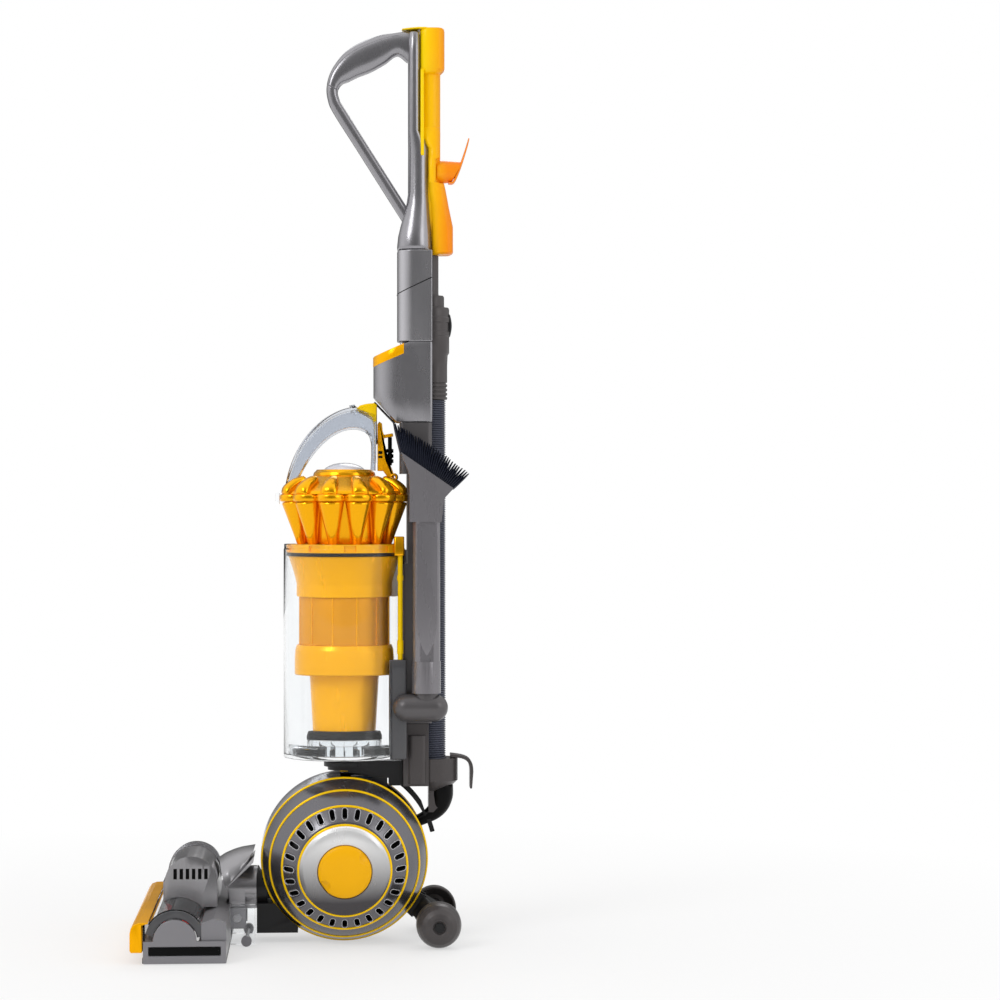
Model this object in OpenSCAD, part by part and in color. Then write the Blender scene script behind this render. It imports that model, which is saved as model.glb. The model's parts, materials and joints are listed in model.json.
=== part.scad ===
// Upright vacuum cleaner that rides on a ball. Millimetres, +Z up, front towards -Y.
// The origin lies on the floor under the middle of the footprint.

/* [Ball] */
// Outer radius of the ball over its raised rings
ball_r = 101; // [98:0.5:103]
// How far the ball's centre lies behind the middle of the footprint
ball_y = 44; // [40:1:48]
// Downward slope of each half ball's axle, in degrees
ball_tilt = 6.5; // [5:0.5:8]
// Distance of each half ball's open rim from the centre, along its axle
rim_station = 25.5; // [24:0.5:27]
// Wall of the half balls
shell_t = 3; // [2:0.5:4]
// Height of the raised rings
ring_h = 1.4; // [0.8:0.1:2]
// Width of the raised rings
ring_w = 3; // [2:0.5:4]
// Radius of each ball's turning centre cap
cap_r = 30.6; // [28:0.2:31]
// Number of air slots round the right half ball
vent_count = 28; // [20:1:30]
// Width of one air slot
vent_w = 6.2; // [4:0.2:7]
// Radius of the axles that carry the half balls
axle_r = 7; // [5:0.5:8]

/* [Fits] */
// Radial clearance of every running shaft
run_gap = 0.05; // [0.02:0.01:0.1]
// Gap between neighbouring pieces that move apart
gap = 0.3; // [0.2:0.05:0.4]

/* [Motor] */
// Outer radius of the motor bucket
bucket_r = 80; // [76:0.5:81]
// Half width of the motor bucket
bucket_half = 42; // [38:0.5:43]
// Wall of the motor bucket
bucket_t = 3; // [2:0.5:5]
// Radius of the vacuum motor
motor_r = 42; // [34:1:50]
// Radius of the impeller
impeller_r = 38; // [30:1:44]
// Radius of the motor shaft
shaft_r = 4; // [3:0.5:5]
// Radius of the pins on which the bucket hangs
pivot_r = 9; // [7:0.5:11]

/* [Stand] */
// Radius of the two stand rollers
roller_r = 26; // [23:0.5:28]
// Distance of the roller axle behind the ball's centre
roller_back = 108; // [106:1:116]
// Half of the width over both rollers
roller_half = 99; // [94:0.5:104]
// Width of one roller
roller_w = 36; // [30:0.5:38]
// Radius of the metal roller axle
roller_axle_r = 5.5; // [4:0.5:6.5]

/* [Bin and cyclones] */
// Outer radius of the clear bin
bin_r = 71; // [68:0.5:72]
// Wall of the clear bin
bin_wall = 2.2; // [1.6:0.2:3]
// Height of the bin with its base
bin_h = 249.6; // [235:0.2:260]
// Space between the ball and the bin
bin_clear = 12.4; // [12:0.2:16]
// Thickness of the bin's base
base_t = 5.8; // [4:0.2:8]
// Number of cones in the ring
cone_count = 12; // [8:1:12]
// Height of the ring of cones
cone_h = 50; // [42:1:56]
// Top radius of one cone
cone_r = 15; // [12:0.5:15.5]
// Radius of the circle of the cone tops
cone_ring_r = 60; // [58:0.5:61]
// Height of the crown over the cones
crown_h = 20; // [16:0.5:22]
// Radius of the metal mesh in the shroud
mesh_r = 53; // [48:0.5:55]
// Height of the mesh
mesh_h = 54.5; // [44:0.5:60]
// Radius of the inner cone at its foot
inner_r = 36; // [32:0.5:38]
// Height of the shroud's lower edge over the foot of the bin
shroud_up = 97.6; // [90:0.2:104]
// Height of the band under the mesh
band_h = 35; // [28:0.5:40]
// Height of the clear cover round the foot of the push rod
rod_cover_h = 116; // [100:1:120]
// Distance of the arch's foot in front of the crown
arch_out = 34; // [30:0.5:36]
// Width of the carry arch
arch_w = 30; // [24:0.5:32]
// Rise of the carry arch over the crown
arch_rise = 86; // [80:0.5:86]
// Radius of the push rod
rod_r = 2.9; // [2:0.1:3.2]
// Sideways place of the push rod
rod_x = 38; // [37:0.5:40]

/* [Spine] */
// Width of the spine
spine_w = 58; // [56:0.5:60]
// Depth of the handle tube
tube_d = 40; // [38:0.5:41]
// Height of the handle tube
tube_h = 106.7; // [90:0.1:120]
// Height of the duct housing under the handle tube
housing_h = 94.7; // [86:0.1:100]
// How far the duct housing stands out in front of the handle tube
housing_out = 28; // [24:0.5:28.5]
// Distance of the hose's axis behind the bin
hose_back = 30; // [29.5:0.5:32]

/* [Handle and wand] */
// Height of the grip loop's spine over the handle tube
grip_h = 259; // [240:1:275]
// Reach of the grip loop in front of the wand
grip_reach = 112; // [100:1:120]
// Width of the grip loop
grip_w = 24; // [20:0.5:28]
// Width of the handle's upright part
wand_w = 38; // [32:0.5:42]
// Depth of the yellow wand tube
wand_d = 23; // [20:0.5:25]
// Travel of the wand when it is pulled up
wand_travel = 200; // [150:5:210]

/* [Hose] */
// Outer radius of the ribbed hose
hose_r = 18; // [16:0.25:18.25]
// Bore radius of the hose
hose_bore = 14; // [12:0.25:15]
// Height of one rib
rib_h = 1.3; // [0.8:0.1:1.6]
// Number of ribs
rib_count = 165; // [100:5:190]
// Radius of the hose cuff
cuff_r = 22; // [21:0.25:22.5]

/* [Tools] */
// Sideways place of both tools
tool_x = 50; // [49:0.5:53]
// Radius of the tool sockets
tool_r = 16.7; // [15.5:0.1:17.5]
// Radius of the pegs that the tools stand on
peg_r = 13.5; // [12:0.1:14]
// Length of the combination tool
tool_h = 280; // [250:1:290]
// Length of the stair tool
stair_h = 201; // [180:1:210]

/* [Cleaner head] */
// Width of the cleaner head
head_w = 350; // [320:2:370]
// Distance of the brush axis in front of the ball
brush_out = 88; // [86:0.5:92]
// Radius of the brush bar over its tufts
brush_r = 24; // [22:0.25:24.5]
// Radius of the brush bar's core
core_r = 17; // [14:0.5:18]
// Height of the brush axis
brush_z = 25; // [24.8:0.1:27]
// Radius of the clear brush window
window_r = 35; // [32:0.5:36]
// Height of the bumper
bumper_h = 31; // [26:0.5:34]
// Half width of the brush motor's housing
pod_half = 76; // [66:1:84]
// Radius of the brush motor's housing
pod_r = 30; // [28:0.5:31]
// Radius of the drive pulley on the brush motor
pulley_r = 8; // [7:0.5:9]

/* [Hidden] */
$fn = 64;

// Ball and stand
ball_z = rim_station * sin(ball_tilt) + sqrt(ball_r * ball_r - rim_station * rim_station) * cos(ball_tilt);
skin_r = ball_r - ring_h;
shell_in = skin_r - shell_t;
hub_d = ball_r - 16.5;
hub_top = ball_r - 10;
cap_d = ball_r - 13.6;
cap_top = ball_r - 4;
ring_stations = [rim_station + ring_w / 2, ball_r - 51, ball_r - 32, hub_d - 0.5];
slot_in = sqrt(pow(skin_r, 2) - pow(hub_d, 2)) + 3.8;
slot_out = sqrt(pow(skin_r, 2) - pow(ball_r - 32, 2)) + 0.2;
yoke_out = shell_in - 2.1;
yoke_in = yoke_out - 3;
spoke_d = ball_r - 30;
spoke_len = sqrt(pow(yoke_out, 2) - pow(spoke_d + 4, 2)) - 0.5;
front_y = ball_y - ball_r - 0.5;
swivel_z = ball_z - 38;
swivel_r = 25;
spigot_r = 15;
leg_in = 9.6;
leg_out = 13.6;
roller_y = ball_y + roller_back;
saddle_r = bucket_r + 0.5;
saddle_t = 5.5;

// Bin stack
bin_z = ball_z + ball_r + bin_clear;
bin_top = bin_z + bin_h;
rim_z = bin_top + cone_h;
rim_h = 8;
rim_r = cone_ring_r + cone_r + 2.5;
crown_z = rim_z + rim_h;
crown_top = crown_z + crown_h;
crown_r = 36;
cap_ring_h = 9;
shroud_z = bin_z + shroud_up;
mesh_z = shroud_z + band_h;
foot_z = bin_z + 24;
arch_top = crown_top + arch_rise;
arch_front = ball_y - crown_r - arch_out;

// Spine
half_w = spine_w / 2;
hose_y = ball_y + bin_r + hose_back;
spine_back = hose_y + 1;
tube_y = spine_back - tube_d;
arch_back = tube_y - 25;
housing_z = crown_top + 64;
tube_z = housing_z + housing_h;
tube_top = tube_z + tube_h;
duct_y = tube_y + 3;
duct_z = bin_z + 41;
channel_r = cuff_r + 1.5;
lower_channel_r = hose_r + 0.9;
cup_y = hose_y + 5;
cup_r = hose_r + 9;
cup_top = bin_z - 1.4;
cup_z = cup_top - 26;
hose_z = cup_top - 9;
cuff_z = tube_z - 68;
hose_len = cuff_z - gap - hose_z;
slot_half = 14;
tongue_len = wand_travel + 56;
tongue_y = tube_y + 3.5;
tongue_t = 9;

// Tools
tool_y = hose_y - 6.5;
peg_z = bin_z + 60.6;
tool_z = peg_z + 17;
stair_y = hose_y - 17;

// Cleaner head
brush_y = ball_y - ball_r - brush_out;
half_head = head_w / 2;
cap_t = 5.4;
cheek_in = half_head - 17;
cheek_out = half_head - cap_t - gap;
pod_y = brush_y + 13.5;
pod_z = brush_z + 52;
pitch_y = front_y - 22.5;
pitch_z = 30;
pitch_r = 5;
belt_x = 66;
brush_pulley_r = 14;
wheel_r = 6;
rear_wheel_y = front_y - 11.5;
sole_wheel_r = 4;
sole_wheel_y = brush_y - 30;
sole_wheel_x = half_head - 53;

// Helpers
module at_ball() { translate([0, ball_y, ball_z]) children(); }
module on_axle(side) { at_ball() rotate([0, side * (90 + ball_tilt), 0]) children(); }
module block(x0, x1, y0, y1, z0, z1) { translate([x0, y0, z0]) cube([x1 - x0, y1 - y0, z1 - z0]); }
module rod_x_way(y, z, x0, x1, r) { translate([x0, y, z]) rotate([0, 90, 0]) cylinder(h = x1 - x0, r = r); }
module rod_y_way(x, z, y0, y1, r) { translate([x, y0, z]) rotate([-90, 0, 0]) cylinder(h = y1 - y0, r = r); }
module rod_z_way(x, y, z0, z1, r) { translate([x, y, z0]) cylinder(h = z1 - z0, r = r); }
// Outline given as [y, z] points, carried from x0 to x1
module side_plate(points, x0, x1) {
  translate([x0, 0, 0]) rotate([90, 0, 90]) linear_extrude(x1 - x0) polygon(points);
}
// Outline given as [x, z] points, carried from y0 to y1
module front_plate(points, y0, y1) {
  translate([0, y1, 0]) rotate([90, 0, 0]) linear_extrude(y1 - y0) polygon(points);
}
// Sector of the side view round the ball's centre, between two angles up from the rear
module ball_sector(r, a0, a1, half) {
  intersection() {
    ball_drum(r, half);
    at_ball() side_plate([[0, 0], 3 * r * [cos(a0), sin(a0)], 3 * r * [cos(a1), sin(a1)]], -half - 1, half + 1);
  }
}
module ball_drum(r, half) { rod_x_way(ball_y, ball_z, -half, half, r); }
// Rounded rectangle standing on z0, made of two slabs and four corner posts
module rounded_post(x0, x1, y0, y1, z0, z1, r) {
  block(x0 + r, x1 - r, y0, y1, z0, z1);
  block(x0, x1, y0 + r, y1 - r, z0, z1);
  for (x = [x0 + r, x1 - r], y = [y0 + r, y1 - r]) rod_z_way(x, y, z0, z1, r);
}
// Points of a cubic curve with two pulling points
function curve(a, b, c, d, n) =
  [for (i = [0:n]) let (t = i / n, u = 1 - t) u*u*u*a + 3*u*u*t*b + 3*u*t*t*c + t*t*t*d];

// ---- Chassis ----
module yoke() {
  color("#26262a") difference() {
    union() {
      intersection() {
        at_ball() difference() { sphere(r = yoke_out); sphere(r = yoke_in); }
        block(18.5 - yoke_out, yoke_out - 18.5, ball_y - ball_r, ball_y - 20, ball_z - 26, ball_z + 26);
      }
      for (side = [-1, 1]) {
        on_axle(side) {
          translate([-20, -spoke_len, spoke_d]) cube([40, spoke_len, 4]);
          translate([0, 0, spoke_d]) cylinder(h = 4, r = 20);
          translate([0, 0, spoke_d]) cylinder(h = hub_d + 2 - spoke_d, r = axle_r);
        }
        rod_x_way(ball_y, ball_z, side > 0 ? bucket_half + 3 : -spoke_d - 1, side > 0 ? spoke_d + 1 : -bucket_half - 3, pivot_r);
      }
      block(-14, 14, front_y, ball_y - 56, swivel_z - 12, swivel_z + 12);
      difference() {
        union() {
          rod_y_way(0, swivel_z, front_y, front_y + 12, swivel_r);
          block(-30, 30, front_y, ball_y - 54, 12, swivel_z - 16);
        }
        at_ball() sphere(r = ball_r + gap);
      }
      rod_y_way(0, swivel_z, front_y - 26, front_y, spigot_r);
    }
    rod_y_way(0, swivel_z, front_y - 27, front_y + 14, spigot_r - 4);
    ball_drum(yoke_in - 0.01, 16);
  }
}

module centre_shell() {
  wedge = tan(ball_tilt);
  inset = (rim_station - 1) / cos(ball_tilt);
  low = -36;
  color("#c9cbd0") intersection() {
    difference() {
      at_ball() difference() { sphere(r = shell_in + 0.9, $fn = 96); sphere(r = yoke_out, $fn = 96); }
      block(-15, 15, front_y, ball_y - 50, swivel_z - 30, swivel_z + 12.3);
    }
    at_ball() front_plate([[-inset - wedge * low, low], [inset + wedge * low, low],
      [inset + wedge * ball_r, ball_r], [-inset - wedge * ball_r, ball_r]], -ball_r, -5);
  }
}

module neck_joint() {
  hood_y = front_y - 45;
  color("#5c5d61") difference() {
    union() {
      rod_y_way(0, swivel_z, front_y - 34, front_y - 0.7, swivel_r);
      block(-25, 25, front_y - 32, front_y - 14, pitch_z - 6, swivel_z);
      intersection() {
        side_plate([[hood_y, pod_z + 19], [front_y - 2, pod_z + 34], [front_y - 4, pod_z + 18],
          [front_y - 34, swivel_z + 5], [front_y - 37, pod_z - 2], [hood_y + 3, pod_z + 12]], -44, 44);
        rod_y_way(0, swivel_z - 10, hood_y - 1, front_y, 59);
      }
      rod_x_way(pitch_y, pitch_z, -34, 34, pitch_r);
    }
    rod_y_way(0, swivel_z, front_y - 26.5, front_y, spigot_r + run_gap);
    rod_y_way(0, swivel_z, front_y - 35, front_y - 20, spigot_r - 4);
  }
}

// ---- Cleaner head ----
module head_body() {
  rear_y = brush_y + 29;
  color("#8b8c90") difference() {
    union() {
      block(-cheek_out, cheek_out, brush_y - 35, brush_y - 27.5, 6, 13);
      side_plate([[rear_y, 6], [rear_y, brush_z + 19], [rear_y + 14, brush_z + 24],
        [brush_y + 57, brush_z + 20], [brush_y + 57, 6]], -cheek_out, cheek_out);
      for (side = [-1, 1]) {
        x0 = side > 0 ? cheek_in : -cheek_out;
        block(x0, x0 + cheek_out - cheek_in, brush_y - 32.7, rear_y + 1, 6, 22);
        rod_x_way(brush_y, brush_z, x0, x0 + cheek_out - cheek_in, 22);
        block(side > 0 ? 27 : -34, side > 0 ? 34 : -27, brush_y + 50, pitch_y + 10, 18, 42);
      }
    }
    rod_x_way(brush_y, brush_z, -cheek_in, cheek_in, 27);
    for (side = [-1, 1])
      rod_x_way(brush_y, brush_z, side > 0 ? cheek_in - 1 : -cheek_out - 1, side > 0 ? cheek_out + 1 : 1 - cheek_in, 4 + run_gap);
    rod_x_way(pitch_y, pitch_z, -35, 35, pitch_r + run_gap);
    block(-26, 26, pitch_y - 13, pitch_y + 11, 5, 60);
    block(-half_head, half_head, brush_y - 40, brush_y + 60, 0, 6);
    for (side = [-1, 1])
      block(side * sole_wheel_x - 7, side * sole_wheel_x + 7, sole_wheel_y - 5.5, sole_wheel_y + 5.5, 5, 9);
  }
}

module sole_plate() {
  color("#3a3b3f") difference() {
    block(-cheek_out, cheek_out, brush_y - 36, brush_y + 57, 0, 6);
    block(-cheek_in + 4, cheek_in - 4, brush_y - 22, brush_y + 21, -1, 7);
    for (x = [-120:40:120]) block(x - 4, x + 4, brush_y + 24, brush_y + 58, -1, 1.5);
    for (side = [-1, 1])
      block(side * sole_wheel_x - 7, side * sole_wheel_x + 7, sole_wheel_y - 5.5, sole_wheel_y + 5.5, -1, 7);
    rod_x_way(sole_wheel_y, sole_wheel_r, -sole_wheel_x - 9, sole_wheel_x + 9, 1.5 + run_gap);
  }
}

module sole_wheels() {
  color("#202124") {
    rod_x_way(sole_wheel_y, sole_wheel_r, -sole_wheel_x - 8.5, sole_wheel_x + 8.5, 1.5);
    for (side = [-1, 1])
      rod_x_way(sole_wheel_y, sole_wheel_r, side * sole_wheel_x - 6, side * sole_wheel_x + 6, sole_wheel_r);
  }
}

module bumper() {
  z0 = 12;
  depth = 20;
  color("#f7a600") intersection() {
    side_plate([[brush_y - 50, z0 + 3], [brush_y - 48.5, z0], [brush_y - 35.8, z0],
      [brush_y - 35.8, z0 + bumper_h], [brush_y - 44, z0 + bumper_h], [brush_y - 48.5, z0 + bumper_h - 4],
      [brush_y - 50, z0 + bumper_h - 10]], -half_head, half_head);
    rounded_post(-half_head, half_head, brush_y - 50, brush_y - 50 + 2 * depth, z0 - 1, z0 + bumper_h + 1, 9);
  }
}

module window_cut(r) {
  rod_x_way(brush_y, brush_z, -half_head - 1, half_head + 1, r);
}
module brush_window() {
  color("#e8eef2", 0.4) {
    difference() {
      union() {
        intersection() {
          difference() {
            rod_x_way(brush_y, brush_z, -cheek_out, cheek_out, window_r);
            rod_x_way(brush_y, brush_z, -cheek_out - 1, cheek_out + 1, window_r - 2.5);
          }
          block(-cheek_out, cheek_out, brush_y - 36, brush_y + 28.6, brush_z + 18, brush_z + 40);
        }
        block(-cheek_out, cheek_out, brush_y - 35.5, brush_y - 33, 13.3, brush_z + 18);
      }
      block(belt_x - 8, belt_x + 8, brush_y - 10, brush_y + 26, brush_z + 10, brush_z + 40);
      block(-belt_x - 8, -belt_x + 8, brush_y + 30, brush_y + 31, brush_z + 10, brush_z + 40);
    }
    for (side = [-1, 1]) difference() {
      block(side > 0 ? 40 : -46, side > 0 ? 46 : -40, brush_y + 57.3, front_y - 1.7, 1.5, 47);
      rod_x_way(rear_wheel_y, wheel_r, side > 0 ? 39 : -47, side > 0 ? 47 : -39, 2 + run_gap);
    }
  }
}

module rear_wheels() {
  color("#9a9ba0") {
    rod_x_way(rear_wheel_y, wheel_r, -55, 55, 2);
    for (x = [-54.5, 46.5]) rod_x_way(rear_wheel_y, wheel_r, x, x + 8, wheel_r);
  }
}

module motor_housing() {
  t = 2.5;
  color("#77787c") {
    difference() {
      union() {
        rod_x_way(pod_y, pod_z, -pod_half, pod_half, pod_r);
        block(-pod_half, pod_half, pod_y - pod_r - 1.5, pod_y + pod_r, brush_z + 22, pod_z + 2);
        for (x = [-52, -41, -29]) rod_x_way(pod_y, pod_z, x - 1.2, x + 1.2, pod_r + 1.4);
      }
      rod_x_way(pod_y, pod_z, -pod_half + t, pod_half - t, pod_r - t);
      block(-pod_half + t, pod_half - t, pod_y - pod_r + t, pod_y + pod_r - t, brush_z + 20, pod_z);
      window_cut(window_r + gap);
      block(-pod_half - 1, pod_half + 1, brush_y + 28, brush_y + 60, 0, brush_z + 24 + gap);
      for (i = [0:5]) block(pod_half - t - 1, pod_half + 1, pod_y - 20 + 7 * i, pod_y - 16 + 7 * i, pod_z + 4, pod_z + 16);
    }
  }
}

module brush_motor() {
  color("#6d5a48") difference() {
    union() {
      rod_x_way(pod_y, pod_z, -60, 40, 20);
      for (x = [-50, 30]) rod_x_way(pod_y, pod_z, x, x + 6, pod_r - 2.5);
    }
    rod_x_way(pod_y, pod_z, 20, 41, 2.5 + run_gap);
    window_cut(window_r + 1);
  }
}

module drive_pulley() {
  color("#b9bcc2") {
    rod_x_way(pod_y, pod_z, belt_x - 5, belt_x + 5, pulley_r);
    rod_x_way(pod_y, pod_z, 22, belt_x, 2.5);
  }
}

module belt_outline(extra) {
  hull() {
    translate([pod_y, pod_z]) circle(r = pulley_r + extra, $fn = 32);
    translate([brush_y, brush_z]) circle(r = brush_pulley_r + extra, $fn = 32);
  }
}
module drive_belt() {
  color("#1c1c1e") translate([belt_x - 4, 0, 0]) rotate([90, 0, 90]) linear_extrude(8) difference() {
    belt_outline(gap + 1.6);
    belt_outline(gap);
  }
}

module brush_bar() {
  color("#55565a") difference() {
    union() {
      rod_x_way(brush_y, brush_z, -cheek_in + 3, cheek_in - 3, core_r);
      rod_x_way(brush_y, brush_z, -cheek_out + 2, cheek_out - 2, 4);
    }
    difference() {
      rod_x_way(brush_y, brush_z, belt_x - 6, belt_x + 6, core_r + 1);
      rod_x_way(brush_y, brush_z, belt_x - 7, belt_x + 7, brush_pulley_r);
    }
  }
}

module brush_bristles() {
  pitch = 12;
  count = floor((cheek_in - 14) / pitch);
  color("#d5232f") for (row = [0, 180], side = [-1, 1], i = [1:count])
    if (abs(side * i * pitch - belt_x) > 9)
      translate([side * i * pitch, brush_y, brush_z]) rotate([row + 45 + 110 * i / count, 0, 0])
        translate([0, 0, core_r - 1.5]) cylinder(h = brush_r - core_r + 1.5, r = 1.7, $fn = 16);
}

module end_caps() {
  y0 = brush_y - 35;
  y1 = brush_y + 57;
  color("#9b9ca0") for (side = [-1, 1]) difference() {
    x0 = side > 0 ? half_head - cap_t : -half_head;
    union() {
      block(x0, x0 + cap_t, y0, y1, 0.3, 25);
      rod_x_way(brush_y, brush_z, x0, x0 + cap_t, brush_z - 1);
    }
    block(side > 0 ? half_head - 2 : -half_head - 1, side > 0 ? half_head + 1 : -half_head + 2, y0 + 6, y1 - 6, 9, 19);
  }
}

// ---- Half balls ----
module ball_shell(side, vented) {
  on_axle(side) difference() {
    union() {
      difference() {
        sphere(r = skin_r, $fn = 96);
        sphere(r = shell_in, $fn = 96);
        translate([0, 0, rim_station - ball_r * 2]) cube(ball_r * 4, center = true);
        translate([0, 0, rim_station - ball_r]) cube([ball_r * 3, ball_r * 3, ball_r * 2], center = true);
        translate([0, 0, hub_d]) cylinder(h = ball_r, r = ball_r);
      }
      rotate_extrude() polygon([[axle_r + run_gap, spoke_d + 6], [axle_r + run_gap, cap_d - 0.4],
        [cap_r + 0.4, cap_d - 0.4], [cap_r + 0.4, hub_top], [cap_r + 18, hub_top - 2.4],
        [sqrt(pow(skin_r, 2) - pow(hub_d, 2)), hub_d], [sqrt(pow(shell_in, 2) - pow(hub_d - 3.5, 2)) + 0.6, hub_d - 3.5],
        [axle_r + 7, hub_d - 3.5], [axle_r + 7, spoke_d + 6]]);
    }
    if (vented) for (i = [0:vent_count - 1]) rotate([0, 0, i * 360 / vent_count])
      translate([slot_in, -vent_w / 2, ball_r - 41]) cube([slot_out - slot_in, vent_w, 30]);
  }
}
module ball_rings(side) {
  on_axle(side) for (d = ring_stations)
    rotate_extrude($fn = 96) rotate([0, 0, asin(d / ball_r)]) translate([skin_r, -ring_w / 2])
      square([ring_h, ring_w]);
}
module centre_cap(side) {
  on_axle(side) difference() {
    rotate_extrude() polygon([[0, cap_d], [cap_r, cap_d], [cap_r, hub_top + 1], [cap_r - 1.5, hub_top + 2.6],
      [cap_r * 0.66, cap_top - 1.2], [cap_r * 0.33, cap_top - 0.3], [0, cap_top]]);
    for (turn = [0, 180]) rotate([0, 0, turn + 35]) translate([cap_r - 9, 0, hub_top])
      cylinder(h = 20, r = 5);
  }
}
module ball_shell_right() { color("#6f7075") ball_shell(1, true); }
module ball_shell_left() { color("#6f7075") ball_shell(-1, false); }
module ball_rings_right() { color("#f2c200") ball_rings(1); }
module ball_rings_left() { color("#f2c200") ball_rings(-1); }
module filter_cap_right() { color("#f7a600") centre_cap(1); }
module centre_cap_left() { color("#f7a600") centre_cap(-1); }

// ---- Motor group inside the ball ----
module motor_bucket() {
  color("#3a3b3f") difference() {
    union() {
      ball_drum(bucket_r, bucket_half);
      ball_drum(16, bucket_half + 18);
      block(-18, 18, ball_y + 8, ball_y + 50, ball_z, cradle_z - 0.1);
    }
    difference() {
      ball_drum(bucket_r - bucket_t, bucket_half - bucket_t);
      for (side = [-1, 1]) rod_x_way(ball_y, ball_z, side > 0 ? bucket_half - 3 : -bucket_half, side > 0 ? bucket_half : 3 - bucket_half, 22);
    }
    for (side = [-1, 1])
      rod_x_way(ball_y, ball_z, side > 0 ? bucket_half - 1 : -bucket_half - 19, side > 0 ? bucket_half + 19 : 1 - bucket_half, pivot_r + run_gap);
    rod_z_way(0, ball_y + 28, ball_z + 40, cradle_z + 1, 15);
  }
}
module vacuum_motor() {
  color("#8d7a5b") difference() {
    union() {
      ball_drum_part(motor_r, -26, 24);
      ball_drum_part(bucket_r - bucket_t - gap, -4, 4);
    }
    ball_drum_part(shaft_r + run_gap, -27, 25);
  }
}
module ball_drum_part(r, x0, x1) { rod_x_way(ball_y, ball_z, x0, x1, r); }
module impeller() {
  color("#d8dadd") {
    ball_drum_part(shaft_r, -25, 35);
    ball_drum_part(impeller_r, 25, 27);
    for (i = [0:8]) at_ball() rotate([i * 40, 0, 0]) translate([26, shaft_r - 2, -0.8])
      cube([8.5, impeller_r - shaft_r, 1.6]);
  }
}
module pre_filter() {
  color("#7fa8c9") rod_z_way(0, ball_y + 28, cradle_z - 12.5, cradle_z - 1, 14.95);
}
module post_filter() {
  color("#dcdfe3") difference() {
    ball_drum_part(motor_r + 6, bucket_half + gap, bucket_half + 19);
    ball_drum_part(16 + gap, bucket_half - 1, bucket_half + 20);
  }
}

// ---- Lower spine ----
cradle_z = ball_z + ball_r - 11;
// Height over the ball's centre at which the cup's bracket meets the duct, and its place there
foot_up = ball_r - 52;
cup_foot = ball_y + sqrt(pow(ball_r + 8, 2) - pow(foot_up, 2)) - 2.4;
module cradle() {
  color("#2b2b2f") difference() {
    union() {
      side_plate([[ball_y + 4, cradle_z], [ball_y + 4, cradle_z + 20], [ball_y + 68, cradle_z + 20],
        [ball_y + 68, cradle_z - 9], [ball_y + 52, cradle_z - 9], [ball_y + 52, cradle_z]], -18, 18);
      rod_z_way(0, ball_y, ball_z + ball_r - 2.3, bin_z - gap, 19.5);
      rod_z_way(0, ball_y, ball_z + ball_r + 2, bin_z - gap - 5, 24);
    }
    at_ball() sphere(r = shell_in + 1.3);
    rod_z_way(0, ball_y + 28, cradle_z - 1, cradle_z + 14, 13);
  }
}

module valve_housing() {
  color("#55514f") difference() {
    union() {
      block(-half_w, half_w, ball_y + 68.3, hose_y - 3, ball_z + ball_r - 20, duct_z - gap);
      rounded_post(-half_w - 4, half_w + 4, ball_y + 74, hose_y - 6, ball_z + ball_r - 17, duct_z - 14.2, 6);
    }
    rod_z_way(0, ball_y, bin_z - 3, duct_z + 1, bin_r + 1.2);
    rod_z_way(0, hose_y, hose_z - 4, duct_z + 1, lower_channel_r);
    at_ball() sphere(r = ball_r + 0.8);
  }
}

module hose_cup() {
  color("#5d5957") difference() {
    union() {
      rod_z_way(0, cup_y, cup_z, cup_top, cup_r);
      translate([0, cup_y, cup_z - 12]) cylinder(h = 12, r1 = 14, r2 = cup_r);
      side_plate([[hose_y - 2, cup_z - 8], [cup_y + 13, cup_z - 8], [cup_y + 10, cup_z - 24],
        [cup_foot + 9, ball_z + foot_up], [cup_foot, ball_z + foot_up], [hose_y - 14, cup_z - 14]], -13, 13);
    }
    block(-60, 60, 0, hose_y - 3 + gap, 0, 400);
    rod_z_way(0, hose_y, hose_z, cup_top + 1, lower_channel_r);
    rod_z_way(0, hose_y, cup_z - 6, cup_top, hose_bore);
  }
}

module ball_duct() {
  color("#1e1e20") difference() {
    ball_sector(ball_r + 8, 14, 52, leg_in - 0.4);
    ball_drum(ball_r + 2.5, 30);
    block(-40, 40, 0, 400, ball_z + ball_r - 20.3, 400);
    side_plate([[hose_y - 2 - gap, cup_z - 7], [cup_y + 13, cup_z - 7], [cup_y + 10, cup_z - 24],
        [cup_foot + 9, ball_z + foot_up - gap], [cup_foot - gap, ball_z + foot_up - gap], [hose_y - 14 - gap, cup_z - 14]], -14, 14);
  }
}

module lower_hook() {
  y0 = cup_y + 18;
  color("#4b4a4d") side_plate(concat([[y0, cup_top + gap]], [[y0, cup_top + 5]],
    curve([y0 + 8, cup_top + 4], [y0 + 22, cup_top + 2], [hook_y, cup_top - 2], [hook_y, cup_top - 16], 8),
    [[hook_y - 1.5, cup_top - 36], [hook_y - 4, cup_top - 36]],
    curve([hook_y - 4, cup_top - 16], [hook_y - 4, cup_top - 6], [y0 + 20, cup_top - 1], [y0 + 9, cup_top + gap], 8)), -12, 12);
}
hook_y = cup_y + 45;

module spine_cut() {
  rod_z_way(0, ball_y, bin_top - 23, crown_top + 4, rim_r + 1.5);
  rod_z_way(0, ball_y, 0, bin_top + 1, bin_r + 1.4);
}
module rear_duct() {
  color("#5f6064") difference() {
    rounded_post(-half_w, half_w, duct_y, spine_back, duct_z, housing_z - gap, 6);
    spine_cut();
    rod_z_way(0, hose_y, duct_z - 1, housing_z, lower_channel_r);
    block(-slot_half, slot_half, tongue_y - gap, tongue_y + tongue_t + gap, tube_top - tongue_len - 1, housing_z);
  }
}

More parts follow.
